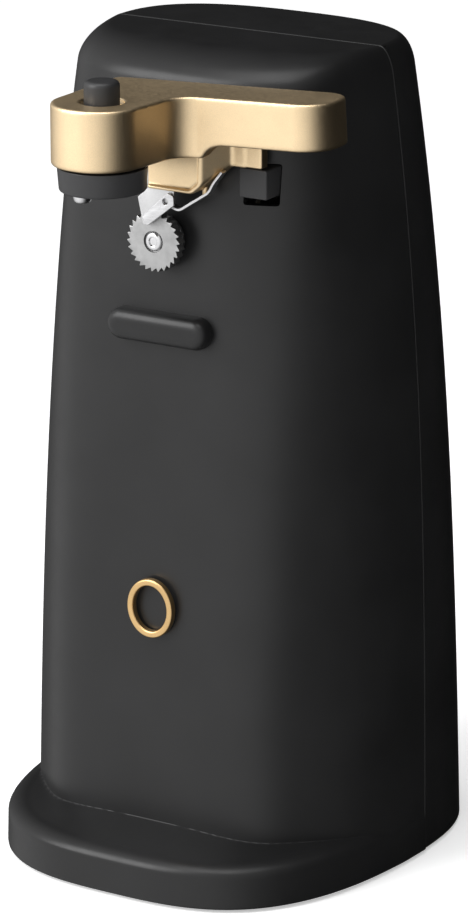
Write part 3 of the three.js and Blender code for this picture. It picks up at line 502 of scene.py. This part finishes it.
def field_mesh(field, low, high, cell):
    """Points and quads of the surface where a distance field is 0 (surface nets)."""
    sizes = [int(math.ceil((h - l) / cell)) + 1 for l, h in zip(low, high)]
    axes = [l + np.arange(n) * cell for l, n in zip(low, sizes)]
    x, y, z = np.ix_(*axes)
    values = np.broadcast_to(field(x, y, z), sizes).astype(float)
    solid = values < 0
    corners = [(i, j, k) for i in (0, 1) for j in (0, 1) for k in (0, 1)]
    part = lambda grid, c: grid[tuple(slice(o, o + n - 1) for o, n in zip(c, sizes))]
    count = sum(part(solid, c).astype(int) for c in corners)
    mixed = (count > 0) & (count < 8)
    cells = np.argwhere(mixed)
    number = np.full(mixed.shape, -1)
    number[mixed] = np.arange(len(cells))
    total = np.zeros((len(cells), 3))
    hits = np.zeros(len(cells))
    for a in corners:
        for axis in range(3):
            if a[axis]:
                continue
            b = tuple(v + (i == axis) for i, v in enumerate(a))
            fa, fb = part(values, a)[mixed], part(values, b)[mixed]
            hit = (fa < 0) != (fb < 0)
            t = np.where(hit, fa / np.where(hit, fa - fb, 1), 0)
            spot = cells + np.array(a)
            spot = spot.astype(float)
            spot[:, axis] += t
            total[hit] += spot[hit]
            hits += hit
    points = total / hits[:, None] * cell + np.array(low)
    points = settle(field, points, cell)
    faces = []
    for axis in range(3):
        step = [0, 0, 0]
        step[axis] = 1
        first = solid[tuple(slice(0, n - s) for n, s in zip(sizes, step))]
        second = solid[tuple(slice(s, n) for n, s in zip(sizes, step))]
        p, q = [(1, 2), (2, 0), (0, 1)][axis]
        for place in np.argwhere(first != second):
            around = []
            for dp, dq in ((0, 0), (1, 0), (1, 1), (0, 1)):
                c = place.copy()
                c[p] -= dp
                c[q] -= dq
                around.append(c)
            if min(c.min() for c in around) < 0:
                continue
            quad = [number[tuple(c)] for c in around]
            faces.append(quad if first[tuple(place)] else quad[::-1])
    return points, faces


def settle(field, points, cell, rounds=3):
    """Moves points onto the surface along the field's slope, by at most a cell."""
    h = cell * 0.05
    start = points.copy()
    for _ in range(rounds):
        x, y, z = points.T
        here = field(x, y, z)
        slope = np.stack([
            field(x + h, y, z) - field(x - h, y, z),
            field(x, y + h, z) - field(x, y - h, z),
            field(x, y, z + h) - field(x, y, z - h),
        ], 1) / (2 * h)
        size = np.maximum(np.sum(slope * slope, 1), 0.25)
        points = points - slope * (here / size)[:, None] * 0.9
        points = start + np.clip(points - start, -cell, cell)
    return points


# ---------------------------------------------------------------- housing


def front_at(z):
    up = z / HEIGHT
    return -27.1 + 7.0 * up + 7.2 * up * up


def back_at(z):
    up = z / HEIGHT
    return 82.6 - 15.9 * up - 4.9 * up * up


def half_width_at(z):
    up = z / HEIGHT
    return 61.3 - 3.3 * up - 11.4 * up ** 3


BEVEL_TURN = 0.7226


def plan_point(turns, z, roll):
    """Points of the tower's plan: a flat front between bevelled corners, and a rounder back."""
    c, s = np.cos(turns), np.sin(turns)
    side = half_width_at(z) - ROLL_SIDE * roll
    if turns[len(turns) // 2] > 0:
        behind = back_at(z) - SEAM - ROLL_BACK * roll
        power = 2 / 2.66
        return side * np.sign(c) * np.abs(c) ** power, behind * np.sign(s) * np.abs(s) ** power
    ahead = SEAM - front_at(z) - ROLL_FRONT * roll
    power = 15 - 10.5 * (z / HEIGHT) ** 2
    across, along = math.cos(BEVEL_TURN), math.sin(BEVEL_TURN)
    bevel = (0.737 + 3.4 / power ** 2) * (side * across + ahead * along)
    total = (side ** -power - (across / bevel) ** power) * np.abs(c) ** power
    total += (ahead ** -power - (along / bevel) ** power) * np.abs(s) ** power
    total += ((np.abs(c) * across + np.abs(s) * along) / bevel) ** power
    reach = total ** (-1 / power)
    return c * reach, s * reach


def flare_reach(cx, cy, run_in):
    """How far the flared foot reaches from the seam's middle along each direction."""
    low, high = np.zeros_like(cx), np.full_like(cx, 140.0)
    for _ in range(40):
        mid = (low + high) / 2
        u = np.abs(cx * mid) / (FOOT_HALF - run_in)
        v = np.abs(cy * mid + SEAM - FOOT_MIDDLE) / (FOOT_REACH - run_in)
        inside = u ** 3 + v ** 3 < 1
        low, high = np.where(inside, mid, low), np.where(inside, high, mid)
    return low


def flare_profile():
    """(height, run-in) of the foot, from its lower rim to where the tower takes over."""
    rows = [(FLOOR, 0.5), (FLOOR + 0.15, 0.22), (FLOOR + 0.4, 0.05), (FLOOR + 0.8, 0.0)]
    rows += [(z, 0.2 * (z - 1.8) / 8.6) for z in np.linspace(2.8, 10.0, 7)]
    for turn in np.linspace(0, 1, 13)[1:]:
        angle = turn * math.pi / 2
        rows.append((FOOT_RIM + 3.5 * math.sin(angle), 0.2 + 5.5 * (1 - math.cos(angle))))
    top, run = rows[-1]
    rows += [(top + 2.5 * t, run + 19 * t) for t in np.linspace(0, 1, 19)[1:]]
    return rows


def shell_turns(columns, side):
    """Turn angles of a half outline, crowded towards the parting plane."""
    base = np.linspace(0, math.pi, columns)
    away = np.array([0.0, 0.06, 0.14, 0.25, 0.4, 0.56, 0.75])  # mm from the plane
    edge = away / 58 if side < 0 else (away / 50) ** 1.33
    base = base[(base > edge[-1] * 1.3) & (base < math.pi - edge[-1] * 1.3)]
    return np.concatenate([edge, base, math.pi - edge[::-1]]) * side


def seam_depth(away):
    """How far the skin is rolled inwards at a distance from the parting plane."""
    near = np.clip(SEAM_ROUND - np.abs(away), 0, SEAM_ROUND)
    return SEAM_ROUND - np.sqrt(SEAM_ROUND ** 2 - near ** 2)


def shell_surface(side):
    """The outer skin of the front (side -1) or rear (side 1) shell."""
    turns = shell_turns(200 if side < 0 else 120, side)
    rows = []
    roll_from = HEIGHT - ROLL_DROP
    if side < 0:
        rows += [(z, run, 0.0) for z, run in flare_profile()]
        tower_from = rows[-1][0]
    else:
        rows += [(FLOOR, None, 0.0), (FLOOR + 0.3, None, 0.0)]
        tower_from = FLOOR + 0.3
    rows += [(z, None, 0.0) for z in np.linspace(tower_from, roll_from, 64)[1:]]
    for turn in np.linspace(0, 1, 19)[1:]:
        angle = turn * math.pi / 2
        rows.append((roll_from + ROLL_DROP * math.sin(angle), None, 1 - math.cos(angle)))
    points = []
    for z, run_in, roll in rows:
        x, y = plan_point(turns, z, roll)
        if run_in is not None:
            reach = np.hypot(x, y)
            cx, cy = x / reach, y / reach
            blend = 0.02 + 1.1 * np.abs(cy)
            reach = smooth_max(reach, flare_reach(cx, cy, run_in), blend)
            x, y = cx * reach, cy * reach
        if side > 0 and z < FLOOR + 0.2:
            x, y = x * 0.995, y * 0.995
        # the skin's slope across the seam: upright on the walls, turning over at the rounded top
        lean = ROLL_DROP * (1 - roll)
        level = ROLL_SIDE * math.sqrt(max(0.0, 1 - (1 - roll) ** 2))
        size = math.hypot(lean, level)
        depth = seam_depth(y)
        skin = np.stack([x, y, np.full_like(x, z)], 1)
        skin[:, 0] -= np.sign(x) * depth * lean / size
        skin[:, 2] -= depth * level / size
        points.append(skin)
    outline = np.stack([x, y, np.full_like(x, HEIGHT)], 1)
    for k in (0.93, 0.84, 0.72, 0.6, 0.48, 0.36, 0.26, 0.17, 0.1, 0.055, 0.028, 0.017, 0.009, 0.004, 0.0):
        cap = outline * (1, k, 1)
        cap[:, 2] -= seam_depth(cap[:, 1])
        points.append(cap)
    grid = np.array(points)
    count = grid.shape[1]
    faces = []
    for i in range(grid.shape[0] - 1):
        a = i * count
        faces += [(a + j, a + j + 1, a + count + j + 1, a + count + j) for j in range(count - 1)]
    flat = grid.reshape(-1, 3)
    flat[:, 1] += SEAM + (SEAM_GAP if side > 0 else 0)
    return flat, faces


def housing_shell(name, side, node):
    points, faces = shell_surface(side)
    piece = add_piece(name, points, faces, "housing", [node], "black_shell", shell_black)
    bm = bmesh.new()
    bm.from_mesh(piece.data)
    bmesh.ops.remove_doubles(bm, verts=bm.verts, dist=4e-5)
    bmesh.ops.dissolve_degenerate(bm, edges=bm.edges, dist=2e-5)
    outward = sum(f.normal.dot(f.calc_center_median() - Vector((0, 0, 0.12))) for f in bm.faces)
    if outward < 0:
        bmesh.ops.reverse_faces(bm, faces=bm.faces)
    bm.to_mesh(piece.data)
    bm.free()
    solid = piece.modifiers.new("wall", "SOLIDIFY")
    solid.thickness = WALL * MM
    solid.offset = -1
    solid.use_rim = True
    apply_modifiers(piece)
    # wall points at the sharp ends of the seam stay under the skin of the rounded top
    for vert in piece.data.vertices:
        vert.co.z = min(vert.co.z, HEIGHT * MM)
    return piece


front_shell = housing_shell("shell_front", -1, "front_shell")
rear_shell = housing_shell("shell_rear", 1, "rear_shell")

plunger_low, plunger_high = (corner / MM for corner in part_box("switch_plunger"))
slot = rounded([
    (plunger_low.x - 0.35, plunger_low.z - 2.9, 0.8), (plunger_high.x + 0.35, plunger_low.z - 2.9, 0.8),
    (plunger_high.x + 0.35, plunger_high.z + 0.35, 0.8), (plunger_low.x - 0.35, plunger_high.z + 0.35, 0.8),
], 0.3)
cut(
    front_shell,
    prism(circle(5.3, 0, wheel.z), "Y", -60, 5),
    prism(circle(3.3, -8, middle("lever_pin").z), "Y", -60, 5),
    prism(slot, "Y", -60, 5),
)
inlet = middle("cord_inlet")
cut(rear_shell, prism(circle(4.9, inlet.x, inlet.z), "Y", 60, 110))
for shell in (front_shell, rear_shell):
    sharpen(shell, 50)


# ---------------------------------------------------------------- lever


def bar_back(x):
    return FACE - BAR_BACK_AHEAD + 0.208 * (x + 13.4)


def bar_front(x):
    return FACE - BAR_FRONT_AHEAD + 0.208 * (x - 14.7)


LEVER_PLAN = rounded([
    (-12.9, -63.8, 12.4), (12.1, -63.8, 12.4), (14.7, bar_front(14.7), 8.0),
    (55.2, bar_front(55.2), 10.0), (54.6, bar_back(55.2), 6.0), (-13.5, bar_back(-13.5), 3.0),
], 0.08)
SKIRT_FACE = rounded([
    (-0.4, SKIRT_LOW, 1.0), (14.6, SKIRT_LOW, 3.0), (23.4, SKIRT_LOW + 7.7, 1.0), (27.4, SKIRT_LOW + 7.7, 0),
    (27.4, BAR_LOW + 3, 0), (-0.4, BAR_LOW + 3, 0),
])
SKIRT_PLAN = rounded([
    (-0.4, -26.8, 1.0), (17.6, -26.8, 1.5), (23.4, -19.2, 2.0), (27.4, -19.2, 0), (27.4, -17.9, 0),
    (-0.4, -17.9, 0),
])
POCKET = rounded([
    (-3.0, SKIRT_LOW + 1.1, 0), (13.9, SKIRT_LOW + 1.1, 2.2), (16.5, SKIRT_LOW + 3.4, 1.2),
    (16.5, BAR_LOW + 4, 0), (-3.0, BAR_LOW + 4, 0),
])


def box_distance(x, y, z, low, high, edge=0.0):
    """Signed distance to a box with rounded edges."""
    d = [np.abs(p - (a + b) / 2) - (b - a) / 2 + edge for p, a, b in zip((x, y, z), low, high)]
    outside = np.sqrt(sum(np.maximum(v, 0) ** 2 for v in d))
    return outside + np.minimum(np.maximum(np.maximum(d[0], d[1]), d[2]), 0) - edge


def lever_field(x, y, z):
    plan = outline_distance(LEVER_PLAN, x, y)
    # the press end is drafted: it widens a little towards its lower rim
    draft = (LEVER_TOP - z) * np.clip((x - 20) / 34, 0, 1) * 0.055
    side = plan - draft + 0.05
    # the deep nose ends in an arch under the bar, and at the back in a step
    deep = np.maximum(x - 21.0, y + 28.7)
    under = smooth_min(deep, BAR_LOW - z, 7.0)
    body = smooth_max(side, smooth_max(under, NOSE_LOW - z, 1.1), 1.1)
    body = smooth_max(body, z - LEVER_TOP, 0.9)
    skirt = smooth_max(outline_distance(SKIRT_PLAN, x, y), outline_distance(SKIRT_FACE, x, z), 1.0)
    pocket = smooth_max(outline_distance(POCKET, x, z), y + 26.0, 0.7)
    skirt = smooth_max(skirt, -pocket, 0.5)
    tab = box_distance(x, y, z, (22.4, -19.2, 212.4), (32.7, -15.8, BAR_LOW + 2), 0.5)
    result = smooth_min(smooth_min(body, skirt, 0.9), tab, 0.8)
    axis = np.hypot(x - POST_X, y - POST_Y)
    result = smooth_max(result, 5.25 - axis, 0.4)
    dish = smooth_max(axis - 6.2, LEVER_TOP - 1.0 - z, 0.5)
    result = smooth_max(result, -dish, 0.5)
    pin = np.maximum(np.hypot(x - PIN_X, z - PIN_Z) - 3.3, -33.8 - y)
    result = smooth_max(result, -pin, 0.4)
    blade = box_distance(x, y, z, (-20, -25.5, 199.0), (8.2, -23.9, NOSE_LOW - 3))
    result = np.maximum(result, -blade)
    result = np.maximum(result, -np.maximum(np.hypot(x - 15.2, y + 19.9) - 1.4, z - SKIRT_LOW - 6))
    screw = np.maximum(np.hypot(x - 4, z - SKIRT_LOW - 5.5) - 1.5, -24.2 - y)
    return np.maximum(result, -screw)


add_piece(
    "press_lever", *field_mesh(lever_field, (-14.9, -64.5, 203.8), (57.0, -5.2, 234.6), 0.45),
    "lever_arm", ["lever"], "gold", gold,
)

# ---------------------------------------------------------------- magnet unit

post_low, post_high = (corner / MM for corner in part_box("magnet_post"))
post_profile = [(0, post_low.z), (4.95, post_low.z), (4.95, post_high.z), (0, post_high.z)]
add_piece(
    "release_post", *lathe(soften(post_profile, 1.7, 8), "Z", POST_X, POST_Y, 96),
    "magnet_unit", ["magnet_post"], "black_trim", trim_black,
)
puck_low, puck_high = (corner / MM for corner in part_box("magnet_holder"))
puck_profile = [
    (0, puck_low.z + 0.7), (9.6, puck_low.z + 0.7), (10.1, puck_low.z), (12.0, puck_low.z),
    (12.5, puck_high.z - 0.2), (12.4, puck_high.z), (0, puck_high.z),
]
puck = add_piece(
    "magnet_puck", *lathe(soften(puck_profile, 0.8, 6), "Z", POST_X, POST_Y, 128),
    "magnet_unit", ["magnet_holder"], "black_trim", trim_black,
)
stud = middle("magnet")
cut(
    puck,
    prism(circle(3.05, stud.x, stud.y - SHIFT), "Z", puck_low.z - 3, puck_low.z + 3),
    prism(circle(2.9, POST_X, POST_Y), "Z", puck_low.z - 3, puck_low.z + 1.9),
)
sharpen(puck, 30)
stud_low, stud_high = (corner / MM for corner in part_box("magnet"))
stud_profile = [
    (0, stud_low.z), (2.2, stud_low.z), (2.8, stud_low.z + 2.0),
    (2.8, stud_high.z - 0.2), (0, stud_high.z - 0.2),
]
add_piece(
    "magnet_stud", *lathe(soften(stud_profile, 1.1, 8), "Z", stud.x, stud.y - SHIFT, 64),
    "magnet_unit", ["magnet"], "steel", steel_stud,
)

# ---------------------------------------------------------------- cutter

blade_outline = rounded([
    (-4.0, SKIRT_LOW - 3.2, 0.5), (-2.3, SKIRT_LOW - 10.9, 0.4), (-0.5, SKIRT_LOW - 10.9, 0.3),
    (7.6, SKIRT_LOW - 4.4, 0.6), (7.9, SKIRT_LOW - 2, 1.0), (7.9, NOSE_LOW - 3.3, 0.5),
    (-0.8, NOSE_LOW - 3.3, 0.5), (-0.8, SKIRT_LOW - 0.3, 0.3),
], 0.2)
screw_hole = circle(1.5, 4, SKIRT_LOW + 5.5, 32)
blade_y = [corner.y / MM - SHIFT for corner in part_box("cutter_blade")]
blade = add_piece(
    "blade", *slab(blade_outline, "Y", *blade_y, 0.12, [screw_hole]),
    "lever_arm", ["cutter_blade"], "steel", steel_flat,
)
sharpen(blade)
edge_outline = rounded([
    (-0.4, SKIRT_LOW - 10.9, 0.3), (8.4, SKIRT_LOW - 4.0, 0.5), (8.3, SKIRT_LOW - 1.2, 1.2),
    (6.3, SKIRT_LOW - 0.7, 0.6), (-2.2, SKIRT_LOW - 8.6, 0.4),
], 0.2)
edge_y = [corner.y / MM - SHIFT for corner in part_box("cutter_edge")]
edge = add_piece(
    "blade_edge", *slab(edge_outline, "Y", *edge_y, 0.14, [circle(0.9, 5.6, SKIRT_LOW - 3.2, 28)]),
    "lever_arm", ["cutter_edge"], "steel", steel_spring,
)
sharpen(edge)
screw_y = [corner.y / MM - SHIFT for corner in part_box("cutter_screw")]
head_profile = [
    (0, screw_y[0]), (1.2, screw_y[0]), (1.2, screw_y[1] - 0.8), (2.2, screw_y[1] - 0.8),
    (1.8, screw_y[1] - 0.1), (0, screw_y[1]),
]
add_piece(
    "blade_screw", *lathe(soften(head_profile, 0.25, 3), "Y", 4, SKIRT_LOW + 5.5, 40),
    "lever_arm", ["cutter_screw"], "dark_steel", dark_steel,
)

strip = np.array([(6.0, -5.0), (8.6, -5.9), (18.4, 0.5), (19.7, 3.1), (22.6, 6.8)])


def bend(line, radius, steps=6):
    """An open line with its corners rounded."""
    return np.array(soften([tuple(p) for p in line], radius, steps))


def ribbon(line, half):
    """The outline of a strip of even thickness along an open line."""
    along = np.gradient(line, axis=0)
    along /= np.linalg.norm(along, axis=1)[:, None]
    side = np.stack([along[:, 1], -along[:, 0]], 1) * half
    return np.concatenate([line + side, (line - side)[::-1]])


guide_line = bend(strip, 2.0) + (0, SKIRT_LOW)
guide = add_piece(
    "rim_guide", *slab(ribbon(guide_line, 0.36), "Y", -24.0, -21.4, 0.1),
    "lever_arm", ["can_guide"], "steel", steel_spring,
)
sharpen(guide)
peg_profile = [(0, SKIRT_LOW - 1.4), (1.1, SKIRT_LOW - 1.4), (1.1, SKIRT_LOW + 5.5), (0, SKIRT_LOW + 5.5)]
add_piece(
    "guide_pin", *lathe(soften(peg_profile, 0.4, 5), "Z", 15.2, -19.9, 36),
    "lever_arm", ["guide_peg"], "gold", gold,
)

# ---------------------------------------------------------------- drive wheel


def saw_outline(radius, depth, teeth):
    points = []
    for i in range(teeth):
        start = TAU * i / teeth
        step = TAU / teeth
        tooth = (
            (0, radius - depth), (0.17, radius - 0.05), (0.27, radius - 0.02),
            (0.4, radius - 0.22), (0.7, radius - 0.68 * depth),
        )
        for share, r in tooth:
            turn = start + share * step
            points.append((r * math.cos(turn), r * math.sin(turn) + wheel.z))
    return np.array(points)


wheel_low, wheel_high = (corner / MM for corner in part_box("drive_wheel"))
wheel_front, wheel_back = wheel_low.y - SHIFT, wheel_high.y - SHIFT
feed_wheel = add_piece(
    "feed_wheel",
    *slab(saw_outline(8.7, 1.05, 26), "Y", wheel_front, wheel_back, 0.14, [circle(2.3, 0, wheel.z, 40)]),
    "drive", ["drive_wheel"], "steel", steel_wheel,
)
cut(feed_wheel, prism(circle(3.15, 0, wheel.z, 56), "Y", wheel_front - 2, wheel_front + 1.0))
sharpen(feed_wheel, 30)
seat = wheel_front + 0.7
screw_profile = [
    (1.2, seat - 0.5), (1.35, seat - 1.05), (2.2, seat - 0.95), (2.7, seat - 0.5), (2.75, seat), (1.1, seat),
    (1.1, seat + 7), (0, seat + 7),
]
screw_profile = [(0, seat - 0.5), *soften(screw_profile, 0.3, 4)]
wheel_screw = add_piece(
    "hub_screw", *lathe(screw_profile, "Y", 0, wheel.z, 60),
    "drive", ["wheel_screw"], "steel", steel_screw,
)
sharpen(wheel_screw, 40)

# ---------------------------------------------------------------- front trim

rest = middle("can_rest")
REST_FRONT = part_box("can_rest")[0].y / MM - SHIFT


def rest_field(x, y, z):
    """A soft-edged bar with round ends, let into the leaning front wall."""
    flat = np.maximum(np.abs(x) - (16.7 - 4.6), 0)
    across = np.hypot(flat, z - rest.z) - 4.6
    front = REST_FRONT - y
    return smooth_max(smooth_max(across, front, 3.4), y - (REST_FRONT + 6.4), 0.4)


rest_low = (-18.2, REST_FRONT - 0.8, rest.z - 5.3)
rest_high = (18.2, REST_FRONT + 7.2, rest.z + 5.3)
add_piece(
    "rest_bar", *field_mesh(rest_field, rest_low, rest_high, 0.32),
    "housing", ["can_rest"], "black_trim", shell_black,
)

badge = middle("badge_ring")


def oval_ring(half_width, half_height, band, front, back, edge):
    """A closed oval band with a soft rectangular section."""
    section = rounded([(0, front, edge), (band, front, edge), (band, back, 0.1), (0, back, 0.1)], 0.3)
    turns = np.arange(120) * TAU / 120
    points = [
        ((half_width - inset) * math.cos(t), y, badge.z + (half_height - inset) * math.sin(t))
        for t in turns for inset, y in section
    ]
    n = len(section)
    faces = [
        (a * n + k, ((a + 1) % 120) * n + k, ((a + 1) % 120) * n + (k + 1) % n, a * n + (k + 1) % n)
        for a in range(120) for k in range(n)
    ]
    return points, faces


badge_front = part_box("badge_ring")[0].y / MM - SHIFT
add_piece(
    "badge_band", *oval_ring(7.6, 8.8, 2.0, badge_front, badge_front + 2.0, 0.55),
    "housing", ["badge_ring"], "gold", badge_gold,
)

# ---------------------------------------------------------------- pivot, bushing and switch block

collar_low, collar_high = (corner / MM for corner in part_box("pivot_collar"))
collar_y = collar_low.y - SHIFT, collar_high.y - SHIFT
collar_profile = [
    (3.3, collar_y[0]), (6.0, collar_y[0]), (6.0, collar_y[1]), (3.3, collar_y[1]), (3.3, collar_y[0]),
]
add_piece(
    "hinge_collar", *lathe(soften(collar_profile, 0.3, 3), "Y", PIN_X, PIN_Z, 64),
    "housing", ["pivot_collar"], "steel", steel_rod,
)
bush_low, bush_high = (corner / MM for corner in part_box("wheel_bushing"))
bush_y = bush_low.y - SHIFT, bush_high.y - SHIFT
bush_profile = [
    (3.4, bush_y[1]), (3.4, bush_y[0]), (7.0, bush_y[0]), (7.0, bush_y[0] + 1.2), (5.0, bush_y[0] + 1.2),
    (5.0, bush_y[1]), (3.4, bush_y[1]),
]
bushing = add_piece(
    "hub_bushing", *lathe(soften(bush_profile, 0.25, 3), "Y", 0, wheel.z, 64),
    "housing", ["wheel_bushing"], "brass", dark_steel,
)
sharpen(bushing, 40)

block_face = plunger_low.y - SHIFT
face = rounded([
    (plunger_low.x, plunger_low.z, 0.6), (plunger_high.x, plunger_low.z, 0.6),
    (plunger_high.x, plunger_high.z, 0.6), (plunger_low.x, plunger_high.z, 0.6),
], 0.3)
add_piece(
    "switch_block", *slab(face, "Y", block_face, block_face + 9.4, 0.45),
    "plunger", [], "black_trim", trim_black,
)
stem = rounded([
    (27.6, plunger_low.z + 1.2, 0.4), (32, plunger_low.z + 1.2, 0.4),
    (32, plunger_low.z + 7.2, 0.4), (27.6, plunger_low.z + 7.2, 0.4),
], 0.4)
add_piece(
    "switch_stem", *slab(stem, "Y", block_face + 9.2, plunger_high.y - SHIFT, 0.2),
    "plunger", ["switch_plunger"], "black_trim", trim_black,
)

# ---------------------------------------------------------------- underside and back

for number in range(1, 5):
    pad = middle(f"foot_{number}")
    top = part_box(f"foot_{number}")[1].z / MM
    profile = [(0, 0.5), (3.2, 0.5), (3.8, 0), (5.3, 0), (6.0, top), (0, top)]
    add_piece(
        f"pad_{number}", *lathe(soften(profile, 0.5, 4), "Z", pad.x, pad.y - SHIFT, 56),
        "housing", [f"foot_{number}"], "rubber", rubber,
    )
    screw = middle(f"cover_screw_{number}")
    low, high = (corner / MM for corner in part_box(f"cover_screw_{number}"))
    profile = [
        (0, low.z + 0.5), (1.1, low.z + 0.5), (1.3, low.z), (2.2, low.z), (2.9, low.z + 0.7),
        (2.9, low.z + 1.0), (1.4, low.z + 1.0), (1.4, high.z), (0, high.z),
    ]
    fastener = add_piece(
        f"base_screw_{number}", *lathe(soften(profile, 0.15, 2), "Z", screw.x, screw.y - SHIFT, 36),
        "housing", [f"cover_screw_{number}"], "dark_steel", dark_steel,
    )
    sharpen(fastener, 40)

inlet_low, inlet_high = (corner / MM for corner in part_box("cord_inlet"))
inlet_y = inlet_low.y - SHIFT, inlet_high.y - SHIFT
inlet_profile = [
    (3.4, inlet_y[0]), (4.6, inlet_y[0]), (4.6, inlet_y[1] - 1.5), (6.6, inlet_y[1] - 1.5), (6.1, inlet_y[1]),
    (4.4, inlet_y[1]), (3.4, inlet_y[1] - 1.0), (3.4, inlet_y[0]),
]
add_piece(
    "inlet_grommet", *lathe(soften(inlet_profile, 0.5, 5), "Y", inlet.x, inlet.z, 72),
    "housing", ["cord_inlet"], "rubber", rubber,
)

# ---------------------------------------------------------------- finishes of the CAD nodes that stay

kept = {
    hidden_black: ["bottom_cover", "motor_fan", "switch_body"],
    dark_steel: ["lever_pin", "lever_spring", "front_plate", "rear_plate", "motor_bolt_1", "motor_bolt_2",
                 "magnet_screw"],
    steel_rod: ["drive_shaft", "motor_shaft", "middle_axle", "front_bracket", "rear_bracket",
                "plate_post_1", "plate_post_2", "plate_post_3", "plate_post_4"],
    nylon: ["drive_gear", "middle_gear", "switch_button"],
    brass: ["motor_pinion"],
    core_steel: ["stator_core", "rotor"],
    copper_wire: ["motor_coil"],
}
for material, names in kept.items():
    for name in names:
        for material_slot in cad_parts[name].material_slots:
            material_slot.material = material


# ---------------------------------------------------------------- stage, light and camera


def stage_floor():
    mesh = bpy.data.meshes.new("floor")
    half = 6.0
    corners = [(-half, -half, 0), (half, -half, 0), (half, half, 0), (-half, half, 0)]
    mesh.from_pydata(corners, [], [(0, 1, 2, 3)])
    floor = bpy.data.objects.new("floor", mesh)
    bpy.context.scene.collection.objects.link(floor)
    paper = Finish("paper", (0.9, 0.9, 0.9), 0.85, spec=0.1)
    paper.tint(paper.noise(6, 3), 0.985, 1.015)
    paper.set("Emission Color", (1, 1, 1, 1))
    paper.set("Emission Strength", 0.45)
    # the dark, glossy housing mirrors the studio's shade and not the lit paper
    floor.visible_glossy = False
    mesh.materials.append(paper.material)


def soft_light(name, size, power, place, aim, tint=(1, 1, 1)):
    data = bpy.data.lights.new(name, "AREA")
    data.shape = "RECTANGLE"
    data.size, data.size_y = size
    data.energy = power
    data.color = tint
    light = bpy.data.objects.new(name, data)
    light.location = place
    light.rotation_euler = (Vector(aim) - Vector(place)).to_track_quat("-Z", "Y").to_euler()
    light.visible_camera = False
    bpy.context.scene.collection.objects.link(light)
    return light


def set_world():
    world = bpy.data.worlds.new("studio")
    bpy.context.scene.world = world
    world.use_nodes = True
    nodes, links = world.node_tree.nodes, world.node_tree.links
    background = nodes["Background"]
    background.inputs["Color"].default_value = (1, 1, 1, 1)
    background.inputs["Strength"].default_value = 1.0
    seen = nodes.new("ShaderNodeBackground")
    seen.inputs["Color"].default_value = (1, 1, 1, 1)
    seen.inputs["Strength"].default_value = 1.0
    direction = nodes.new("ShaderNodeTexCoord")
    facing = nodes.new("ShaderNodeVectorMath")
    facing.operation = "DOT_PRODUCT"
    facing.inputs[1].default_value = (-0.45, -0.86, 0.22)
    links.new(direction.outputs["Generated"], facing.inputs[0])
    fade = nodes.new("ShaderNodeMapRange")
    fade.interpolation_type = "SMOOTHSTEP"
    for key, value in (("From Min", -0.45), ("From Max", 0.8), ("To Min", 0.01), ("To Max", 1.08)):
        fade.inputs[key].default_value = value
    links.new(facing.outputs["Value"], fade.inputs["Value"])
    links.new(fade.outputs["Result"], background.inputs["Strength"])
    path = nodes.new("ShaderNodeLightPath")
    mix = nodes.new("ShaderNodeMixShader")
    links.new(path.outputs["Is Camera Ray"], mix.inputs[0])
    links.new(background.outputs[0], mix.inputs[1])
    links.new(seen.outputs[0], mix.inputs[2])
    links.new(mix.outputs[0], nodes["World Output"].inputs["Surface"])


def set_camera():
    data = bpy.data.cameras.new("camera")
    data.sensor_fit = "VERTICAL"
    data.sensor_height = 36
    data.lens = 172.79
    camera = bpy.data.objects.new("camera", data)
    camera.location = (0.638185, -1.033131 + SHIFT * MM, 0.4953)
    aim = Vector((0.01213, SHIFT * MM, 0.12077))
    camera.rotation_euler = (aim - camera.location).to_track_quat("-Z", "Y").to_euler()
    bpy.context.scene.collection.objects.link(camera)
    bpy.context.scene.camera = camera


stage_floor()
set_world()
set_camera()
soft_light("key", (0.9, 1.1), 16, (-0.75, -1.0, 0.85), (0, 0, 0.13))
soft_light("top", (0.8, 0.8), 5, (0.05, -0.25, 1.2), (0, 0, 0.15))
bpy.context.scene.view_settings.view_transform = "Standard"
